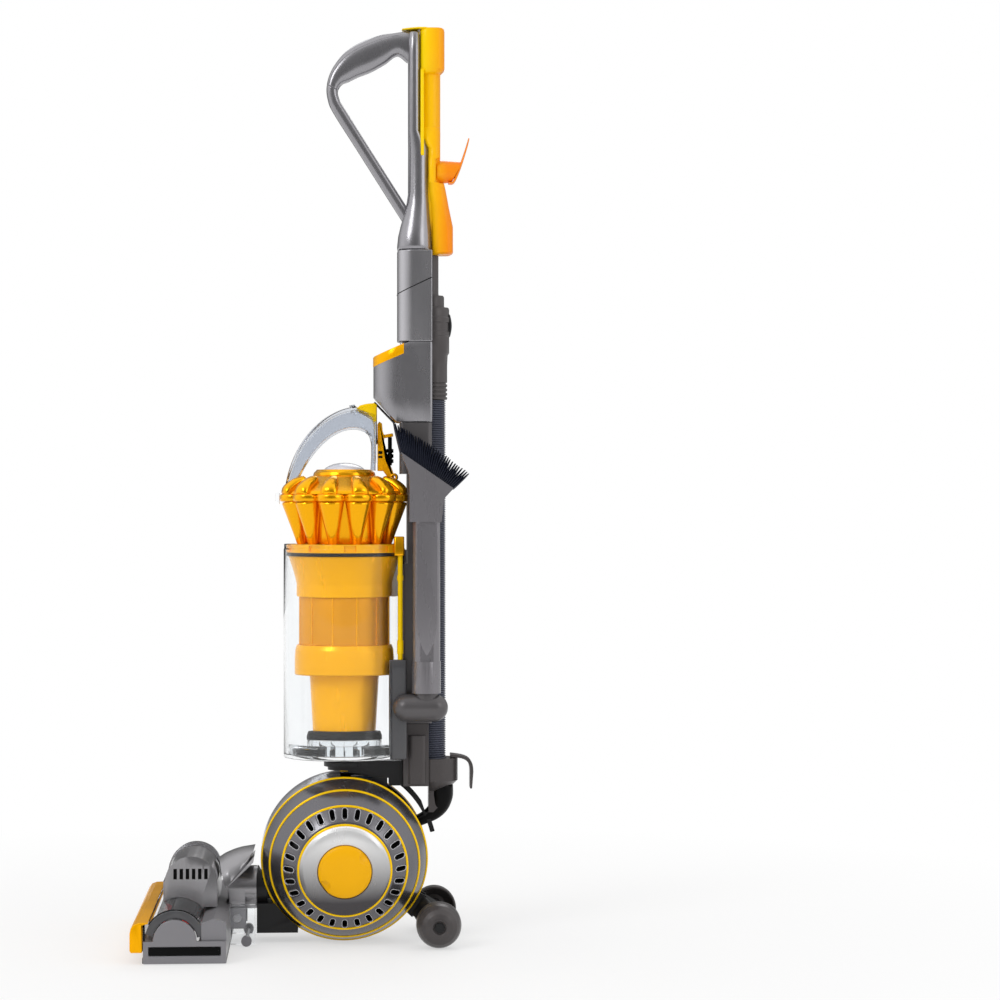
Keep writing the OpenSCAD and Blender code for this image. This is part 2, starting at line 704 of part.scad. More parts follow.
// The front outline of the duct housing slopes out over the latch and opens in a slanting mouth
module duct_housing() {
  y0 = tube_y - housing_out;
  color("#77787c") difference() {
    intersection() {
      side_plate([[y0, housing_z + 28], [y0, tube_z - 18], [tube_y, tube_z - 6], [tube_y, tube_z - gap],
        [spine_back, tube_z - gap], [spine_back, housing_z], [tube_y - 1, housing_z]], -half_w, half_w);
      union() {
        rounded_post(-half_w, half_w, y0 - 8, spine_back, housing_z - 1, tube_z + 1, 22);
        block(-half_w, half_w, tube_y, spine_back, housing_z, tube_z);
      }
    }
    rod_z_way(0, hose_y, housing_z - 1, cuff_z - 6, lower_channel_r);
    rod_z_way(0, hose_y, cuff_z - 6, tube_z + 1, channel_r);
    block(-slot_half, slot_half, tongue_y - gap, tongue_y + tongue_t + gap, housing_z - 1, tube_z);
    rounded_post(-half_w + 3, half_w - 3, y0 - 2 + 3, tube_y - 1.5, housing_z + 45, tube_z, 8);
    rod_x_way(button_y, button_z, -half_w - 1, -half_w + 8, button_r + gap);
  }
}
button_r = 9;
button_y = tube_y + 9;
button_z = housing_z + 52;
module power_button() {
  color("#c8261e") rod_x_way(button_y, button_z, -half_w, -half_w + 4.5, button_r);
}

// Yellow lip that lines the mouth on the right half and follows its slanting rim
module mouth_band() {
  y0 = tube_y - housing_out;
  color("#f7a600") difference() {
    rounded_post(-half_w + 3.3, half_w - 3.3, y0 + 1.3, tube_y - 1.8, housing_z + 45.3, tube_z - 9, 7.7);
    rounded_post(-half_w + 6, half_w - 6, y0 + 4, tube_y - 4, housing_z + 52, tube_z, 5);
    side_plate([[y0 - 1, tube_z - 18.2], [tube_y + 1, tube_z - 6.2], [tube_y + 1, tube_z + 9], [y0 - 1, tube_z + 9]], -half_w, half_w);
  }
}

module handle_tube() {
  color("#8b8c91") difference() {
    intersection() {
      rounded_post(-half_w, half_w, tube_y, spine_back + 20, tube_z, tube_top - gap, 19);
      block(-half_w, half_w, tube_y, spine_back, tube_z, tube_top);
    }
    rod_z_way(0, hose_y, tube_z - 1, tube_top + 1, channel_r);
    block(-slot_half, slot_half, tongue_y - gap, tongue_y + tongue_t + gap, tube_z - 1, tube_top + 1);
  }
}

module tool_holder() {
  r = 16;
  pod_mid = peg_z;
  color("#66676b") {
    difference() {
      union() {
        rod_y_way(tool_x, pod_mid, tool_y - 23, tool_y + 9, r);
        for (y = [tool_y - 23, tool_y + 9]) translate([tool_x, y, pod_mid]) sphere(r = r);
        rod_z_way(tool_x, tool_y, pod_mid, peg_z + 31, peg_r);
        rod_x_way(tool_y - 7, pod_mid, half_w + gap, tool_x, 10);
      }
      rod_z_way(tool_x, tool_y, pod_mid + 18, peg_z + 32, peg_r - 3);
      block(half_w - 10, half_w + gap, 0, 300, 0, 400);
      block(half_w - 10, rod_x + 7 + gap, 0, rod_y + 7.5 + gap, 0, 400);
    }
    difference() {
      union() {
        rod_z_way(-tool_x, stair_y, peg_z - 32, peg_z - 6, 8);
        block(-tool_x, -half_w - gap, stair_y - 6, stair_y + 6, peg_z - 32, peg_z - 22);
      }
      rod_z_way(-tool_x, stair_y, peg_z - 28, peg_z - 5, 5);
    }
  }
}

// ---- Stand ----
module stand_frame() {
  color("#242427") difference() {
    union() {
      difference() {
        ball_sector(saddle_r + saddle_t, -75, -15, leg_out);
        ball_drum(saddle_r, leg_out + 1);
      }
      for (side = [-1, 1]) {
        difference() {
          ball_sector(ball_r + 7, -43, -27, leg_out);
          ball_drum(saddle_r, leg_out + 1);
          ball_drum_part(ball_r * 2, side > 0 ? -leg_out - 1 : -leg_in, side > 0 ? leg_in : leg_out + 1);
        }
        hull() {
          at_ball() rotate([-35, 0, 0]) translate([side > 0 ? leg_in : -leg_out, ball_r + 3, -13])
            cube([leg_out - leg_in, 5.5, 26]);
          rod_x_way(roller_y, roller_r, side > 0 ? 48 : -58, side > 0 ? 58 : -48, 10, $fn = 32);
        }
        rod_x_way(roller_y, roller_r, side > 0 ? 50 : -roller_half - 0.5, side > 0 ? roller_half + 0.5 : -50, roller_axle_r);
      }
    }
  }
}

module roller(side) {
  x0 = roller_half - roller_w;
  tread = x0 + 13;
  translate([0, roller_y, roller_r]) rotate([0, side * 90, 0]) rotate_extrude()
    polygon(concat([[roller_axle_r + run_gap, x0 - 4], [9, x0 - 4], [9, x0 + 22], [14, x0 + 22],
      [roller_r - 3, tread - 2], [roller_r - 3, x0], [roller_r, x0 + 1]],
      curve([roller_r, tread], [roller_r - 1, tread + 13], [roller_r - 10, roller_half - 2], [9, roller_half], 8),
      [[roller_axle_r + 1.5, roller_half], [roller_axle_r + 1.5, roller_half - 2], [roller_axle_r + run_gap, roller_half - 2]]));
}
module roller_right() { color("#5d5957") roller(1); }
module roller_left() { color("#5d5957") roller(-1); }

// ---- Handle and wand ----
// Side outlines below are measured from the hose's axis and the top of the handle tube
grip_top = tube_top + grip_h;
grip_front = hose_y - 12 - grip_reach;
module handle_grip() {
  back = hose_y - 13;
  strut = [tube_y + 8.6, tube_top + 30];
  color("#8b8c91") difference() {
    union() {
      side_plate(concat([[back, grip_top - 5], [back - 13, grip_top]],
        curve([back - 22, grip_top], [back - 54, grip_top - 4], [grip_front - 5, grip_top - 26], [grip_front + 1, grip_top - 82], 12),
        [[grip_front + 10, grip_top - 98], strut, [back, tube_top + 30]]), -grip_w / 2, grip_w / 2);
      side_plate([[back - 13, tube_top + 55], [back - 13, grip_top - 3], [back, grip_top - 5], [back, tube_top + 135],
        [back + 10, tube_top + 118], [back + 10, tube_top + 55]], -wand_w / 2 + 1, wand_w / 2 - 1);
      difference() {
        hull() {
          rounded_post(-wand_w / 2 + 1, wand_w / 2 - 1, back - 13, back + 10, tube_top + 55, tube_top + 62, 8, $fn = 24);
          rounded_post(-half_w, half_w, tube_y, spine_back, tube_top, tube_top + 18, 12, $fn = 24);
        }
        rod_z_way(0, hose_y, tube_top - 1, tube_top + 70, cover_r + gap);
      }
      block(-slot_half + gap, slot_half - gap, tongue_y, tongue_y + tongue_t, tube_top - tongue_len, tube_top + 1);
    }
    rod_z_way(0, hose_y, tube_top + 50, grip_top - 40, wand_d / 2 + gap);
    side_plate(concat([[back - 13, tube_top + 56], [back - 15.5, tube_top + 52], [back - 20, tube_top + 56], [grip_front + 19, grip_top - 85]],
      curve([grip_front + 19, grip_top - 85], [grip_front + 14, grip_top - 76], [grip_front + 17, grip_top - 66], [grip_front + 29, grip_top - 61], 5),
      [[back - 45, grip_top - 44], [back - 35, grip_top - 37]],
      curve([back - 35, grip_top - 37], [back - 28, grip_top - 29], [back - 20, grip_top - 31], [back - 13, grip_top - 42], 5)),
      -grip_w, grip_w);
  }
}
cover_r = 19.5;

module wand_cap() {
  back = hose_y - 13 + gap;
  pipe_y = hose_y - wand_d / 2;
  color("#f7a600") difference() {
    union() {
      side_plate([[back - 22, grip_top + gap], [back - 21, grip_top + 2], [hose_y + 13, grip_top + 2],
        [hose_y + 16, grip_top - 1], [hose_y + 16, grip_top - 46], [hose_y + 11, grip_top - 52],
        [back, grip_top - 52], [back, grip_top - 5 + gap], [back - 13, grip_top + gap]], -wand_w / 2 - 0.5, wand_w / 2 + 0.5);
      rod_z_way(0, pipe_y + wand_d / 2, tube_top - 4.7, grip_top - 52, wand_d / 2);
      difference() {
        side_plate([[back, grip_top - 50], [hose_y + 11, grip_top - 50], [hose_y + 11, hook_z + 18], [hose_y + 6, hook_z + 15],
          [hose_y + 6, hook_z - 15], [hose_y + 16, hook_z - 15], [hose_y + 26, tube_top + 29],
          [hose_y + 26, tube_top - 2], [hose_y + 23, tube_top - 5], [hose_y - 3, tube_top - 5], [hose_y - 3, tube_top + 50],
          [hose_y - 2.6, tube_top + 119], [back, tube_top + 135]], -cover_r, cover_r);
      }
    }
    rod_z_way(0, hose_y, tube_top - 6, tube_top + 60, wand_d / 2 - 2);
    rod_y_way(0, hook_z, hose_y + 6, hose_y + 40, 13.5 + gap);
  }
}

hook_z = tube_top + 93;
module upper_hook() {
  y0 = hose_y + 6 + gap;
  color("#f7a600") {
    rod_y_way(0, hook_z, y0, hose_y + 20, 13.5);
    side_plate([[hose_y + 19, hook_z - 12], [hose_y + 27, hook_z - 13], [hose_y + 46, hook_z + 41], [hose_y + 43, hook_z + 40.5],
      [hose_y + 33, hook_z + 13], [hose_y + 19, hook_z + 13]], -11, 11);
  }
}

module hose_cuff() {
  top = tube_z + 54;
  color("#5b5c60") difference() {
    union() {
      rod_z_way(0, hose_y, cuff_z, cuff_z + 54, cuff_r - 2.4);
      rod_z_way(0, hose_y, cuff_z + 54, cuff_z + 108, cuff_r);
      for (z = [cuff_z + 76, cuff_z + 92]) rod_z_way(0, hose_y, z, z + 5, cuff_r + 1);
      rod_z_way(0, hose_y, cuff_z + 108, cuff_z + 122, cuff_r - 6);
      rod_z_way(0, hose_y, cuff_z + 122, tube_top - 5, 9.4);
    }
    rod_z_way(0, hose_y, cuff_z - 1, cuff_z + 110, hose_bore);
    for (i = [0:3]) rotate_extrude_ring(cuff_z + 3 + 5 * i);
  }
}
module rotate_extrude_ring(z) {
  translate([0, hose_y, z]) rotate_extrude() translate([cuff_r - 3.4, 0]) square([3, 1.6]);
}

// Ribbed hose: each rib is a crest and a root ring of eight sides, with a smooth bore
module hose() {
  pitch = hose_len / rib_count;
  color("#3e4350") translate([0, hose_y, hose_z]) rotate_extrude($fn = 8)
    polygon(concat([[hose_bore, 0]],
      [for (i = [0:rib_count - 1], k = [0, 1]) [k == 0 ? hose_r - rib_h : hose_r, (i + k / 2) * pitch]],
      [[hose_r - rib_h, hose_len], [hose_bore, hose_len]]));
}

// ---- Bin and cyclones ----
module bin() {
  color("#e6edf2", 0.35) {
    difference() {
      rod_z_way(0, ball_y, bin_z + base_t, bin_top, bin_r);
      rod_z_way(0, ball_y, bin_z + base_t - 1, bin_top + 1, bin_r - bin_wall);
    }
    difference() {
      block(half_w + gap, rod_x + 7, rod_y - 14.5, rod_y + 7.5, bin_z, bin_z + rod_cover_h);
      rod_z_way(0, ball_y, bin_z - 1, bin_top, bin_r);
      rod_z_way(rod_x, rod_y, bin_z - 1, bin_top, rod_r + gap);
    }
  }
}
rod_y = ball_y + sqrt(pow(bin_r + rod_r + 0.96, 2) - pow(rod_x, 2));

module bin_base() {
  color("#dfe7ec", 0.4) {
    rod_z_way(0, ball_y, bin_z, bin_z + base_t, bin_r);
    difference() {
      rod_z_way(0, ball_y, bin_z + base_t, foot_z, inner_r + 7.5);
      rod_z_way(0, ball_y, bin_z + base_t, foot_z + 1, inner_r + 5);
    }
    for (i = [0:15]) translate([0, ball_y, bin_z + base_t]) rotate([0, 0, i * 22.5])
      translate([inner_r + 7.4, -0.8, 0]) cube([bin_r - bin_wall - inner_r - 8, 1.6, 9]);
  }
}

module base_seal() {
  color("#161617") translate([0, ball_y, foot_z]) rotate_extrude()
    polygon([[inner_r + 0.2, 0], [inner_r + 8, 0], [inner_r + 8, 6], [inner_r + 6, 10.6], [inner_r + 0.9, 10.6]]);
}

module top_seal() {
  color("#161617") translate([0, ball_y, bin_top - 14]) rotate_extrude()
    translate([bin_r - 8, 0]) square([8 - bin_wall - 0.05, 4]);
}

module shroud() {
  low = shroud_z;
  wide = bin_r - bin_wall - 0.3;
  color("#f5a100") {
    translate([0, ball_y, 0]) rotate_extrude() polygon([[mesh_r, mesh_z + mesh_h], [mesh_r + 2.6, mesh_z + mesh_h],
      [mesh_r + 2.6, bin_top - 47], [wide - 1.5, bin_top - 14], [bin_r - 8.1, bin_top - 14], [bin_r - 8.1, bin_top - 10],
      [wide, bin_top - 10], [wide, bin_top], [wide - 12, bin_top], [wide - 12, bin_top - 16], [mesh_r - 0.5, bin_top - 47]]);
    translate([0, ball_y, 0]) rotate_extrude() polygon([[inner_r + 5, low], [mesh_r + 5, low],
      [mesh_r + 2, mesh_z], [mesh_r - 1.5, mesh_z], [mesh_r - 1.5, mesh_z - 4], [inner_r + 5, low + 3]]);
  }
}

module shroud_mesh() {
  color("#c98016") difference() {
    rod_z_way(0, ball_y, mesh_z, mesh_z + mesh_h, mesh_r + 0.5);
    rod_z_way(0, ball_y, mesh_z - 1, mesh_z + mesh_h + 1, mesh_r - 1);
  }
}

module inner_cone() {
  color("#f0960a") translate([0, ball_y, 0]) rotate_extrude() polygon([[inner_r - 2, foot_z], [inner_r, foot_z],
    [inner_r + 4.6, shroud_z + 3], [inner_r + 4.6, bin_top - 30], [inner_r + 9, bin_top - gap],
    [inner_r + 7, bin_top - gap], [inner_r + 2.6, bin_top - 30], [inner_r + 2.6, shroud_z + 3]]);
}

module cyclone_cones() {
  lean = atan((cone_ring_r - 51.5) / cone_h);
  color("#e8960c") difference() {
    union() {
      for (i = [0:cone_count - 1]) translate([0, ball_y, bin_top]) rotate([0, 0, 15 + i * 360 / cone_count])
        translate([51.5, 0, 0]) rotate([0, lean, 0]) cylinder(h = cone_h + 1, r1 = 5.3, r2 = cone_r);
      translate([0, ball_y, bin_top]) cylinder(h = cone_h, r1 = 46, r2 = 56);
      for (i = [0:cone_count - 1]) translate([0, ball_y, rim_z]) rotate([0, 0, 15 + i * 360 / cone_count])
        translate([cone_ring_r, 0, 0.5]) cylinder(h = rim_h - 0.5, r = cone_r + 2.5);
      rod_z_way(0, ball_y, rim_z, crown_z, cone_ring_r);
      block(rod_x - 8, rod_x + 6, min(rod_y - 24.5, ball_y + 40), rod_y + 5, bin_top + 1, bin_top + 9);
      difference() {
        block(rod_x - 8, rod_x + 6, rod_y - 6.5, rod_y + 5, bin_top - 14, bin_top + 9);
        rod_z_way(0, ball_y, bin_top - 20, bin_top + 1, bin_r + gap);
      }
    }
    rod_z_way(0, ball_y, bin_top - 60, bin_top, bin_r + gap);
    rod_z_way(0, ball_y, crown_z, crown_z + 30, 100);
    rod_z_way(rod_x, rod_y, bin_top - 20, bin_top + 6, rod_r + run_gap);
  }
}

module crown_solids(extra) {
  translate([0, ball_y, crown_z]) cylinder(h = crown_h, r1 = 66 + extra, r2 = crown_r + extra);
  for (i = [0:cone_count - 1]) translate([0, ball_y, crown_z]) rotate([0, 0, 15 + i * 360 / cone_count]) {
    translate([crown_r + 3, 0, crown_h - 4]) rotate([0, 127, 0]) cylinder(h = 26, r = 8 + extra);
    translate([crown_r + 4, 0, crown_h - 4]) sphere(r = 8 + extra);
  }
}
module cyclone_crown() {
  color("#e0900a") intersection() {
    union() {
      crown_solids(0);
      rod_z_way(0, ball_y, crown_top, crown_top + cap_ring_h, crown_r - 4);
      translate([0, ball_y, crown_top]) cylinder(h = cap_ring_h - 4, r1 = crown_r, r2 = crown_r - 4);
      translate([0, ball_y, crown_top + cap_ring_h - 34]) intersection() {
        sphere(r = 42, $fn = 96);
        cylinder(h = 60, r = 25);
      }
    }
    rod_z_way(0, ball_y, crown_z, crown_top + 40, rim_r);
  }
}

// Clear carrying arch from the crown's front up and back to the latch
module carry_arch() {
  f = arch_front;
  b = arch_back;
  t = arch_top;
  s = crown_z;
  color("#dfe8ee", 0.4) {
    difference() {
      union() {
        side_plate(concat([[f + 19, s], [f, s + 3]],
          curve([f, s + 3], [f + 6, s + 56], [f + 40, t - 8], [b - 24, t - 3], 12),
          [[b - 24, t - 3], [b - 24, t - 14], [b, t - 14], [b, s + 27], [b - 7, s + 27], [b - 5, t - 54]],
          curve([b - 7, t - 36], [b - 17, t - 23], [f + 50, t - 22], [f + 18, s + 21], 12)),
          -arch_w / 2, arch_w / 2);
        block(-arch_w / 2, arch_w / 2, b - 11, b, s + 20, t - 60);
        for (side = [-1, 1]) block(side > 0 ? arch_w / 2 - 1 : -arch_w / 2 - 11, side > 0 ? arch_w / 2 + 11 : 1 - arch_w / 2,
          b - 3, b, s + 36, t - 20);
        block(-arch_w / 2, arch_w / 2, ball_y - rim_r - 3.3, f + 19, s, s + 2.2);
      }
      crown_solids(gap);
      rod_z_way(0, ball_y, s - 5, crown_top + cap_ring_h + 1, crown_r + 1);
      rod_z_way(0, ball_y, crown_top, crown_top + 40, 30);
    }
    difference() {
      rod_y_way(0, s, ball_y - rim_r - 3.3, ball_y - rim_r - gap, arch_w / 2);
      block(-60, 60, -200, 300, s, s + 60);
    }
    latch_works();
  }
}
// Latch bar, branch, bellows and lower bracket behind the arch
module latch_works() {
  y0 = arch_back;
  z0 = crown_top;
  difference() {
    union() {
      block(-8, 8, y0 - 0.5, y0 + 2, z0 + 6, z0 + 32);
      block(-8, 8, y0 + 1.6, y0 + 9.5, z0 + 6, z0 + 66);
      block(-6, 6, y0 + 9, y0 + 20, z0 + 46, z0 + 51);
      rod_z_way(0, y0 + 16, z0 + 10, z0 + 48, 2.4);
      for (z = [z0 + 17 : 5.4 : z0 + 34]) rod_z_way(0, y0 + 16, z, z + 3.6, 4.2);
      side_plate([[y0 - 3, z0 + 7], [y0 + 9, z0 + 18], [y0 + 25, z0 + 4], [y0 + 25, z0 - 6], [y0 + 12, z0 - 8], [y0 - 3, z0]], -10, 10);
    }
    crown_solids(gap);
    rod_z_way(0, ball_y, crown_z, crown_top + cap_ring_h, crown_r + gap);
  }
}

module release_trigger() {
  b = arch_back;
  t = arch_top;
  color("#ffc400") {
    side_plate([[b - 23.7, t - 9.5], [b - 23.7, t - 2], [b - 10, t + 1], [b + 1.3, t + 0.5], [b + 1.3, t - 9.5]], -13, 13);
    block(-8, 8, b + gap, b + 1.3, t - 48, t - 5);
  }
}

module push_rod() {
  color("#f7a600") {
    rod_z_way(rod_x, rod_y, bin_z + 8, bin_top - 2, rod_r);
    rod_z_way(rod_x, rod_y, bin_z + rod_cover_h + 6.4, bin_z + rod_cover_h + 22, rod_r + 0.8);
    rod_z_way(rod_x, rod_y, bin_top - 42, bin_top - 36, rod_r + 0.8);
  }
}

// ---- Tools ----
module combination_tool() {
  top = tool_z + tool_h;
  y = tool_y;
  color("#7b7c80") difference() {
    union() {
      rod_z_way(tool_x, y, tool_z, tool_z + 37, tool_r);
      rounded_post(tool_x - tool_r + 2, tool_x + tool_r - 2, y - tool_r + 1, y + tool_r - 1, tool_z + 37, tool_z + 200, 9);
      side_plate([[y - 20, tool_z + 198], [y - 20, tool_z + 253], [y - 30, top - 1], [y + 31, top - 43],
        [y + 20, top - 55], [y + 17, top - 82]], tool_x - 19, tool_x + 17);
    }
    rod_z_way(tool_x, y, tool_z - 1, tool_z + 34, peg_r + gap);
  }
  color("#1b1c1f") side_plate([[y - 30, top - 1 + 0.01], [y - 39, top + 34], [y + 2, top + 8], [y + 51, top - 30], [y + 31, top - 43 + 0.01]],
    tool_x - 16, tool_x + 14);
}

module stair_tool() {
  z0 = peg_z - 20;
  color("#66676b") difference() {
    union() {
      rod_z_way(-tool_x, stair_y, z0 + 10, z0 + stair_h - 51, 10);
      rod_z_way(-tool_x, stair_y, z0, z0 + 12, 11.5);
      rounded_post(-tool_x - 26, -tool_x - 4, stair_y - 26, stair_y + 30, z0 + stair_h - 59, z0 + stair_h, 5);
    }
    rod_z_way(-tool_x, stair_y, z0 - 1, z0 + 20, 8 + gap);
    block(-tool_x - 27, -tool_x - 21, stair_y - 22, stair_y + 26, z0 + stair_h - 55, z0 + stair_h - 4);
  }
}

yoke();
centre_shell();
neck_joint();
head_body();
sole_plate();
bumper();
brush_window();
motor_housing();
brush_motor();
drive_pulley();
drive_belt();
brush_bar();
brush_bristles();
end_caps();
sole_wheels();
rear_wheels();
ball_shell_right();
ball_rings_right();
filter_cap_right();
ball_shell_left();
ball_rings_left();
centre_cap_left();
motor_bucket();
vacuum_motor();
impeller();
pre_filter();
post_filter();
cradle();
valve_housing();
hose_cup();
ball_duct();
lower_hook();
rear_duct();
duct_housing();
mouth_band();
handle_tube();
power_button();
tool_holder();
stand_frame();
roller_right();
roller_left();
handle_grip();
wand_cap();
upper_hook();
hose_cuff();
hose();
bin();
bin_base();
base_seal();
top_seal();
shroud();
shroud_mesh();
inner_cone();
cyclone_cones();
cyclone_crown();
carry_arch();
release_trigger();
push_rod();
combination_tool();
stair_tool();
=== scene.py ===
import json
import math
import bmesh
import bpy
import numpy as np
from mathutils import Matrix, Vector


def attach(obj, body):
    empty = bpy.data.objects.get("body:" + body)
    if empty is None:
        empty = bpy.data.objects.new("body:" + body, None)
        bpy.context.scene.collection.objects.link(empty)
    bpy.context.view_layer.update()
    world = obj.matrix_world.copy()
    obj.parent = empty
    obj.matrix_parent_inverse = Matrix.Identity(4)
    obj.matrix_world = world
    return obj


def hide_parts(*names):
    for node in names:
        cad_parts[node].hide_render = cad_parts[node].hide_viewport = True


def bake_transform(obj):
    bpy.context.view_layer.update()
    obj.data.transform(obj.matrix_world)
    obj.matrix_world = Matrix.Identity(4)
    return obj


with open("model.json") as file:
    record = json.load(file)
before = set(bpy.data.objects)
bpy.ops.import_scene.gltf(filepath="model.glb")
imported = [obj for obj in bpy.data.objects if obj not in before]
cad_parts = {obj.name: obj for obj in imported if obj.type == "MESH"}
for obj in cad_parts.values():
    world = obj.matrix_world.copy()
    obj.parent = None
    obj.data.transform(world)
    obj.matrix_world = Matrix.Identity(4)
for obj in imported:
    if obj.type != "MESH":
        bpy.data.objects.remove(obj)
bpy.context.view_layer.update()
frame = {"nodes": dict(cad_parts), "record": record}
nodes = frame["nodes"]
bodyOf = {name: body for body, members in frame["record"]["behaviour"]["bodies"].items() for name in members}
print("frame loaded")


# A node socket that takes part in Python expressions: each operator adds one Math node.
class Wire:
    def __init__(self, tree, socket):
        self.tree, self.socket = tree, socket

    def math(self, operation, other, flip=False):
        a, b = (other, self) if flip else (self, other)
        return self.tree.make("Math", {0: a, 1: b}, operation=operation)

    def outputs(self, *names):
        return [Wire(self.tree, self.socket.node.outputs[k]) for k in names]

    def __add__(self, other): return self.math("ADD", other)
    def __radd__(self, other): return self.math("ADD", other, True)
    def __sub__(self, other): return self.math("SUBTRACT", other)
    def __rsub__(self, other): return self.math("SUBTRACT", other, True)
    def __mul__(self, other): return self.math("MULTIPLY", other)
    def __rmul__(self, other): return self.math("MULTIPLY", other, True)
    def __pow__(self, other): return self.math("POWER", other)
    def __gt__(self, other): return self.math("GREATER_THAN", other)


# The node tree of one material or world. make() adds any node: kind, values or links of its sockets, the output
# that goes on, and settings by name.
class Tree:
    def __init__(self, owner, last="ShaderNodeOutputMaterial"):
        owner.use_nodes = True
        self.owner, self.tree = owner, owner.node_tree
        self.tree.nodes.clear()
        self.output = self.tree.nodes.new(last)

    def make(self, kind, inputs=None, out=0, **settings):
        node = self.tree.nodes.new("ShaderNode" + kind)
        for key, value in settings.items():
            setattr(node, key, value)
        for key, value in (inputs or {}).items():
            if isinstance(value, Wire):
                self.tree.links.new(value.socket, node.inputs[key])
            else:
                node.inputs[key].default_value = value
        return Wire(self, node.outputs[out])

    def noise(self, scale, detail=3, stretch=(1, 1, 1)):
        at = self.make("TexCoord", out="Object")
        placed = self.make("Mapping", {"Vector": at, "Scale": stretch})
        return self.make("TexNoise", {"Vector": placed, "Scale": scale, "Detail": detail}, "Fac")

    def mix(self, factor, a, b):
        return self.make("Mix", {0: factor, 6: a, 7: b}, 2, data_type="RGBA")

    def bump(self, strength, distance, height):
        return self.make("Bump", {"Strength": strength, "Distance": distance, "Height": height}, "Normal")

    def end(self, shader):
        self.tree.links.new(shader.socket, self.output.inputs["Surface"])
        return self.owner

    def surface(self, **inputs):
        return self.end(self.make("BsdfPrincipled", {k.replace("_", " "): v for k, v in inputs.items()}, "BSDF"))


# sRGB to linear, then times k: c / 12.92 below 0.04045, otherwise ((c + 0.055) / 1.055) to the power 2.4
def shade(colour, k=1.0):
    return (*[min(1.0, k * (c / 12.92 if c <= 0.04045 else ((c + 0.055) / 1.055) ** 2.4)) for c in colour], 1)


# Moulded plastic: cloudy tone in the colour, a rubbed look in the roughness and a fine grain in the bump.
# The last argument, (shade colour, axis, from, to), fades the colour along one axis, distances in metres: painted light
# and shade, the colour standing for the lit side and the shade colour for the shaded side
def plastic(name, colour, rough=0.35, grain=0.15, mottle=0.06, metallic=0.0, coat=0.0, grainScale=1400, shine=0.4,
        paintedShading=None):
    t = Tree(bpy.data.materials.new(name))
    cloud, fine, smear = t.noise(14, 4), t.noise(grainScale, 2), t.noise(60, 5, (1, 1, 0.25))
    tone = t.mix(cloud, shade(colour, 1 - mottle), shade(colour, 1 + mottle))
    if paintedShading:
        shadeColour, axis, start, stop = paintedShading
        along = t.make("SeparateXYZ", {"Vector": t.make("TexCoord", out="Object")}, axis)
        # painted light and shade: the tone fades into the shade colour along the axis
        tone = t.mix((along - start) * (1 / (stop - start)) + (cloud - 0.5) * 0.15, tone, shade(shadeColour))
    bump = t.bump(grain, 0.0004, fine)
    return t.surface(Base_Color=tone, Roughness=(smear - 0.5) * 0.12 + rough, Metallic=metallic, Normal=bump,
                     Coat_Weight=coat, Coat_Roughness=0.12, Specular_IOR_Level=shine)


# Clear moulding: tinted clear resin with faint flow marks
def clearPlastic(name, tint, rough=0.02, ior=1.32):
    t = Tree(bpy.data.materials.new(name))
    smear = t.noise(30, 4)
    return t.surface(Base_Color=t.mix(smear, shade(tint, 0.98), shade(tint, 1.02)),
        Roughness=(smear - 0.5) * 0.02 + rough,
                     IOR=ior, Transmission_Weight=1.0)


# Filter cloth: short fibres in colour and bump
def felt(name, colour):
    t = Tree(bpy.data.materials.new(name))
    fibre = t.noise(900, 2)
    bump = t.bump(0.5, 0.0006, fibre)
    return t.surface(Base_Color=t.mix(fibre, shade(colour, 0.75), shade(colour, 1.1)), Roughness=0.9, Normal=bump)


# Etched metal mesh: a dot wherever the product of two sines, round the axis and up it, rises over a level; the dots are
# bumped holes, painted darker as the shade inside them
def etched(name, colour, axisY, pitch):
    t = Tree(bpy.data.materials.new(name))
    at = t.make("TexCoord", out="Object")
    placed = t.make("Mapping", {"Vector": at, "Location": (0, -axisY, 0)})
    parts = t.make("SeparateXYZ", {"Vector": placed})
    y, z = parts.outputs(1, 2)
    around = y.math("ARCTAN2", parts)
    dots = (around * pitch[0]).math("SINE", 0) * (z * pitch[1]).math("SINE", 0)
    holesAndShade = dots > 0.15
    bump = t.bump(0.6, 0.0004, 1 - holesAndShade)
    # painted shade: the holes are painted at 0.55 of the colour
    return t.surface(Base_Color=t.mix(holesAndShade, shade(colour, 1.0), shade(colour, 0.55)), Roughness=holesAndShade * 0.3 + 0.35,
        Metallic=0.6, Normal=bump)


bare, smooth = {"grain": 0, "coat": 0.1}, {"grain": 0.04, "mottle": 0.03}
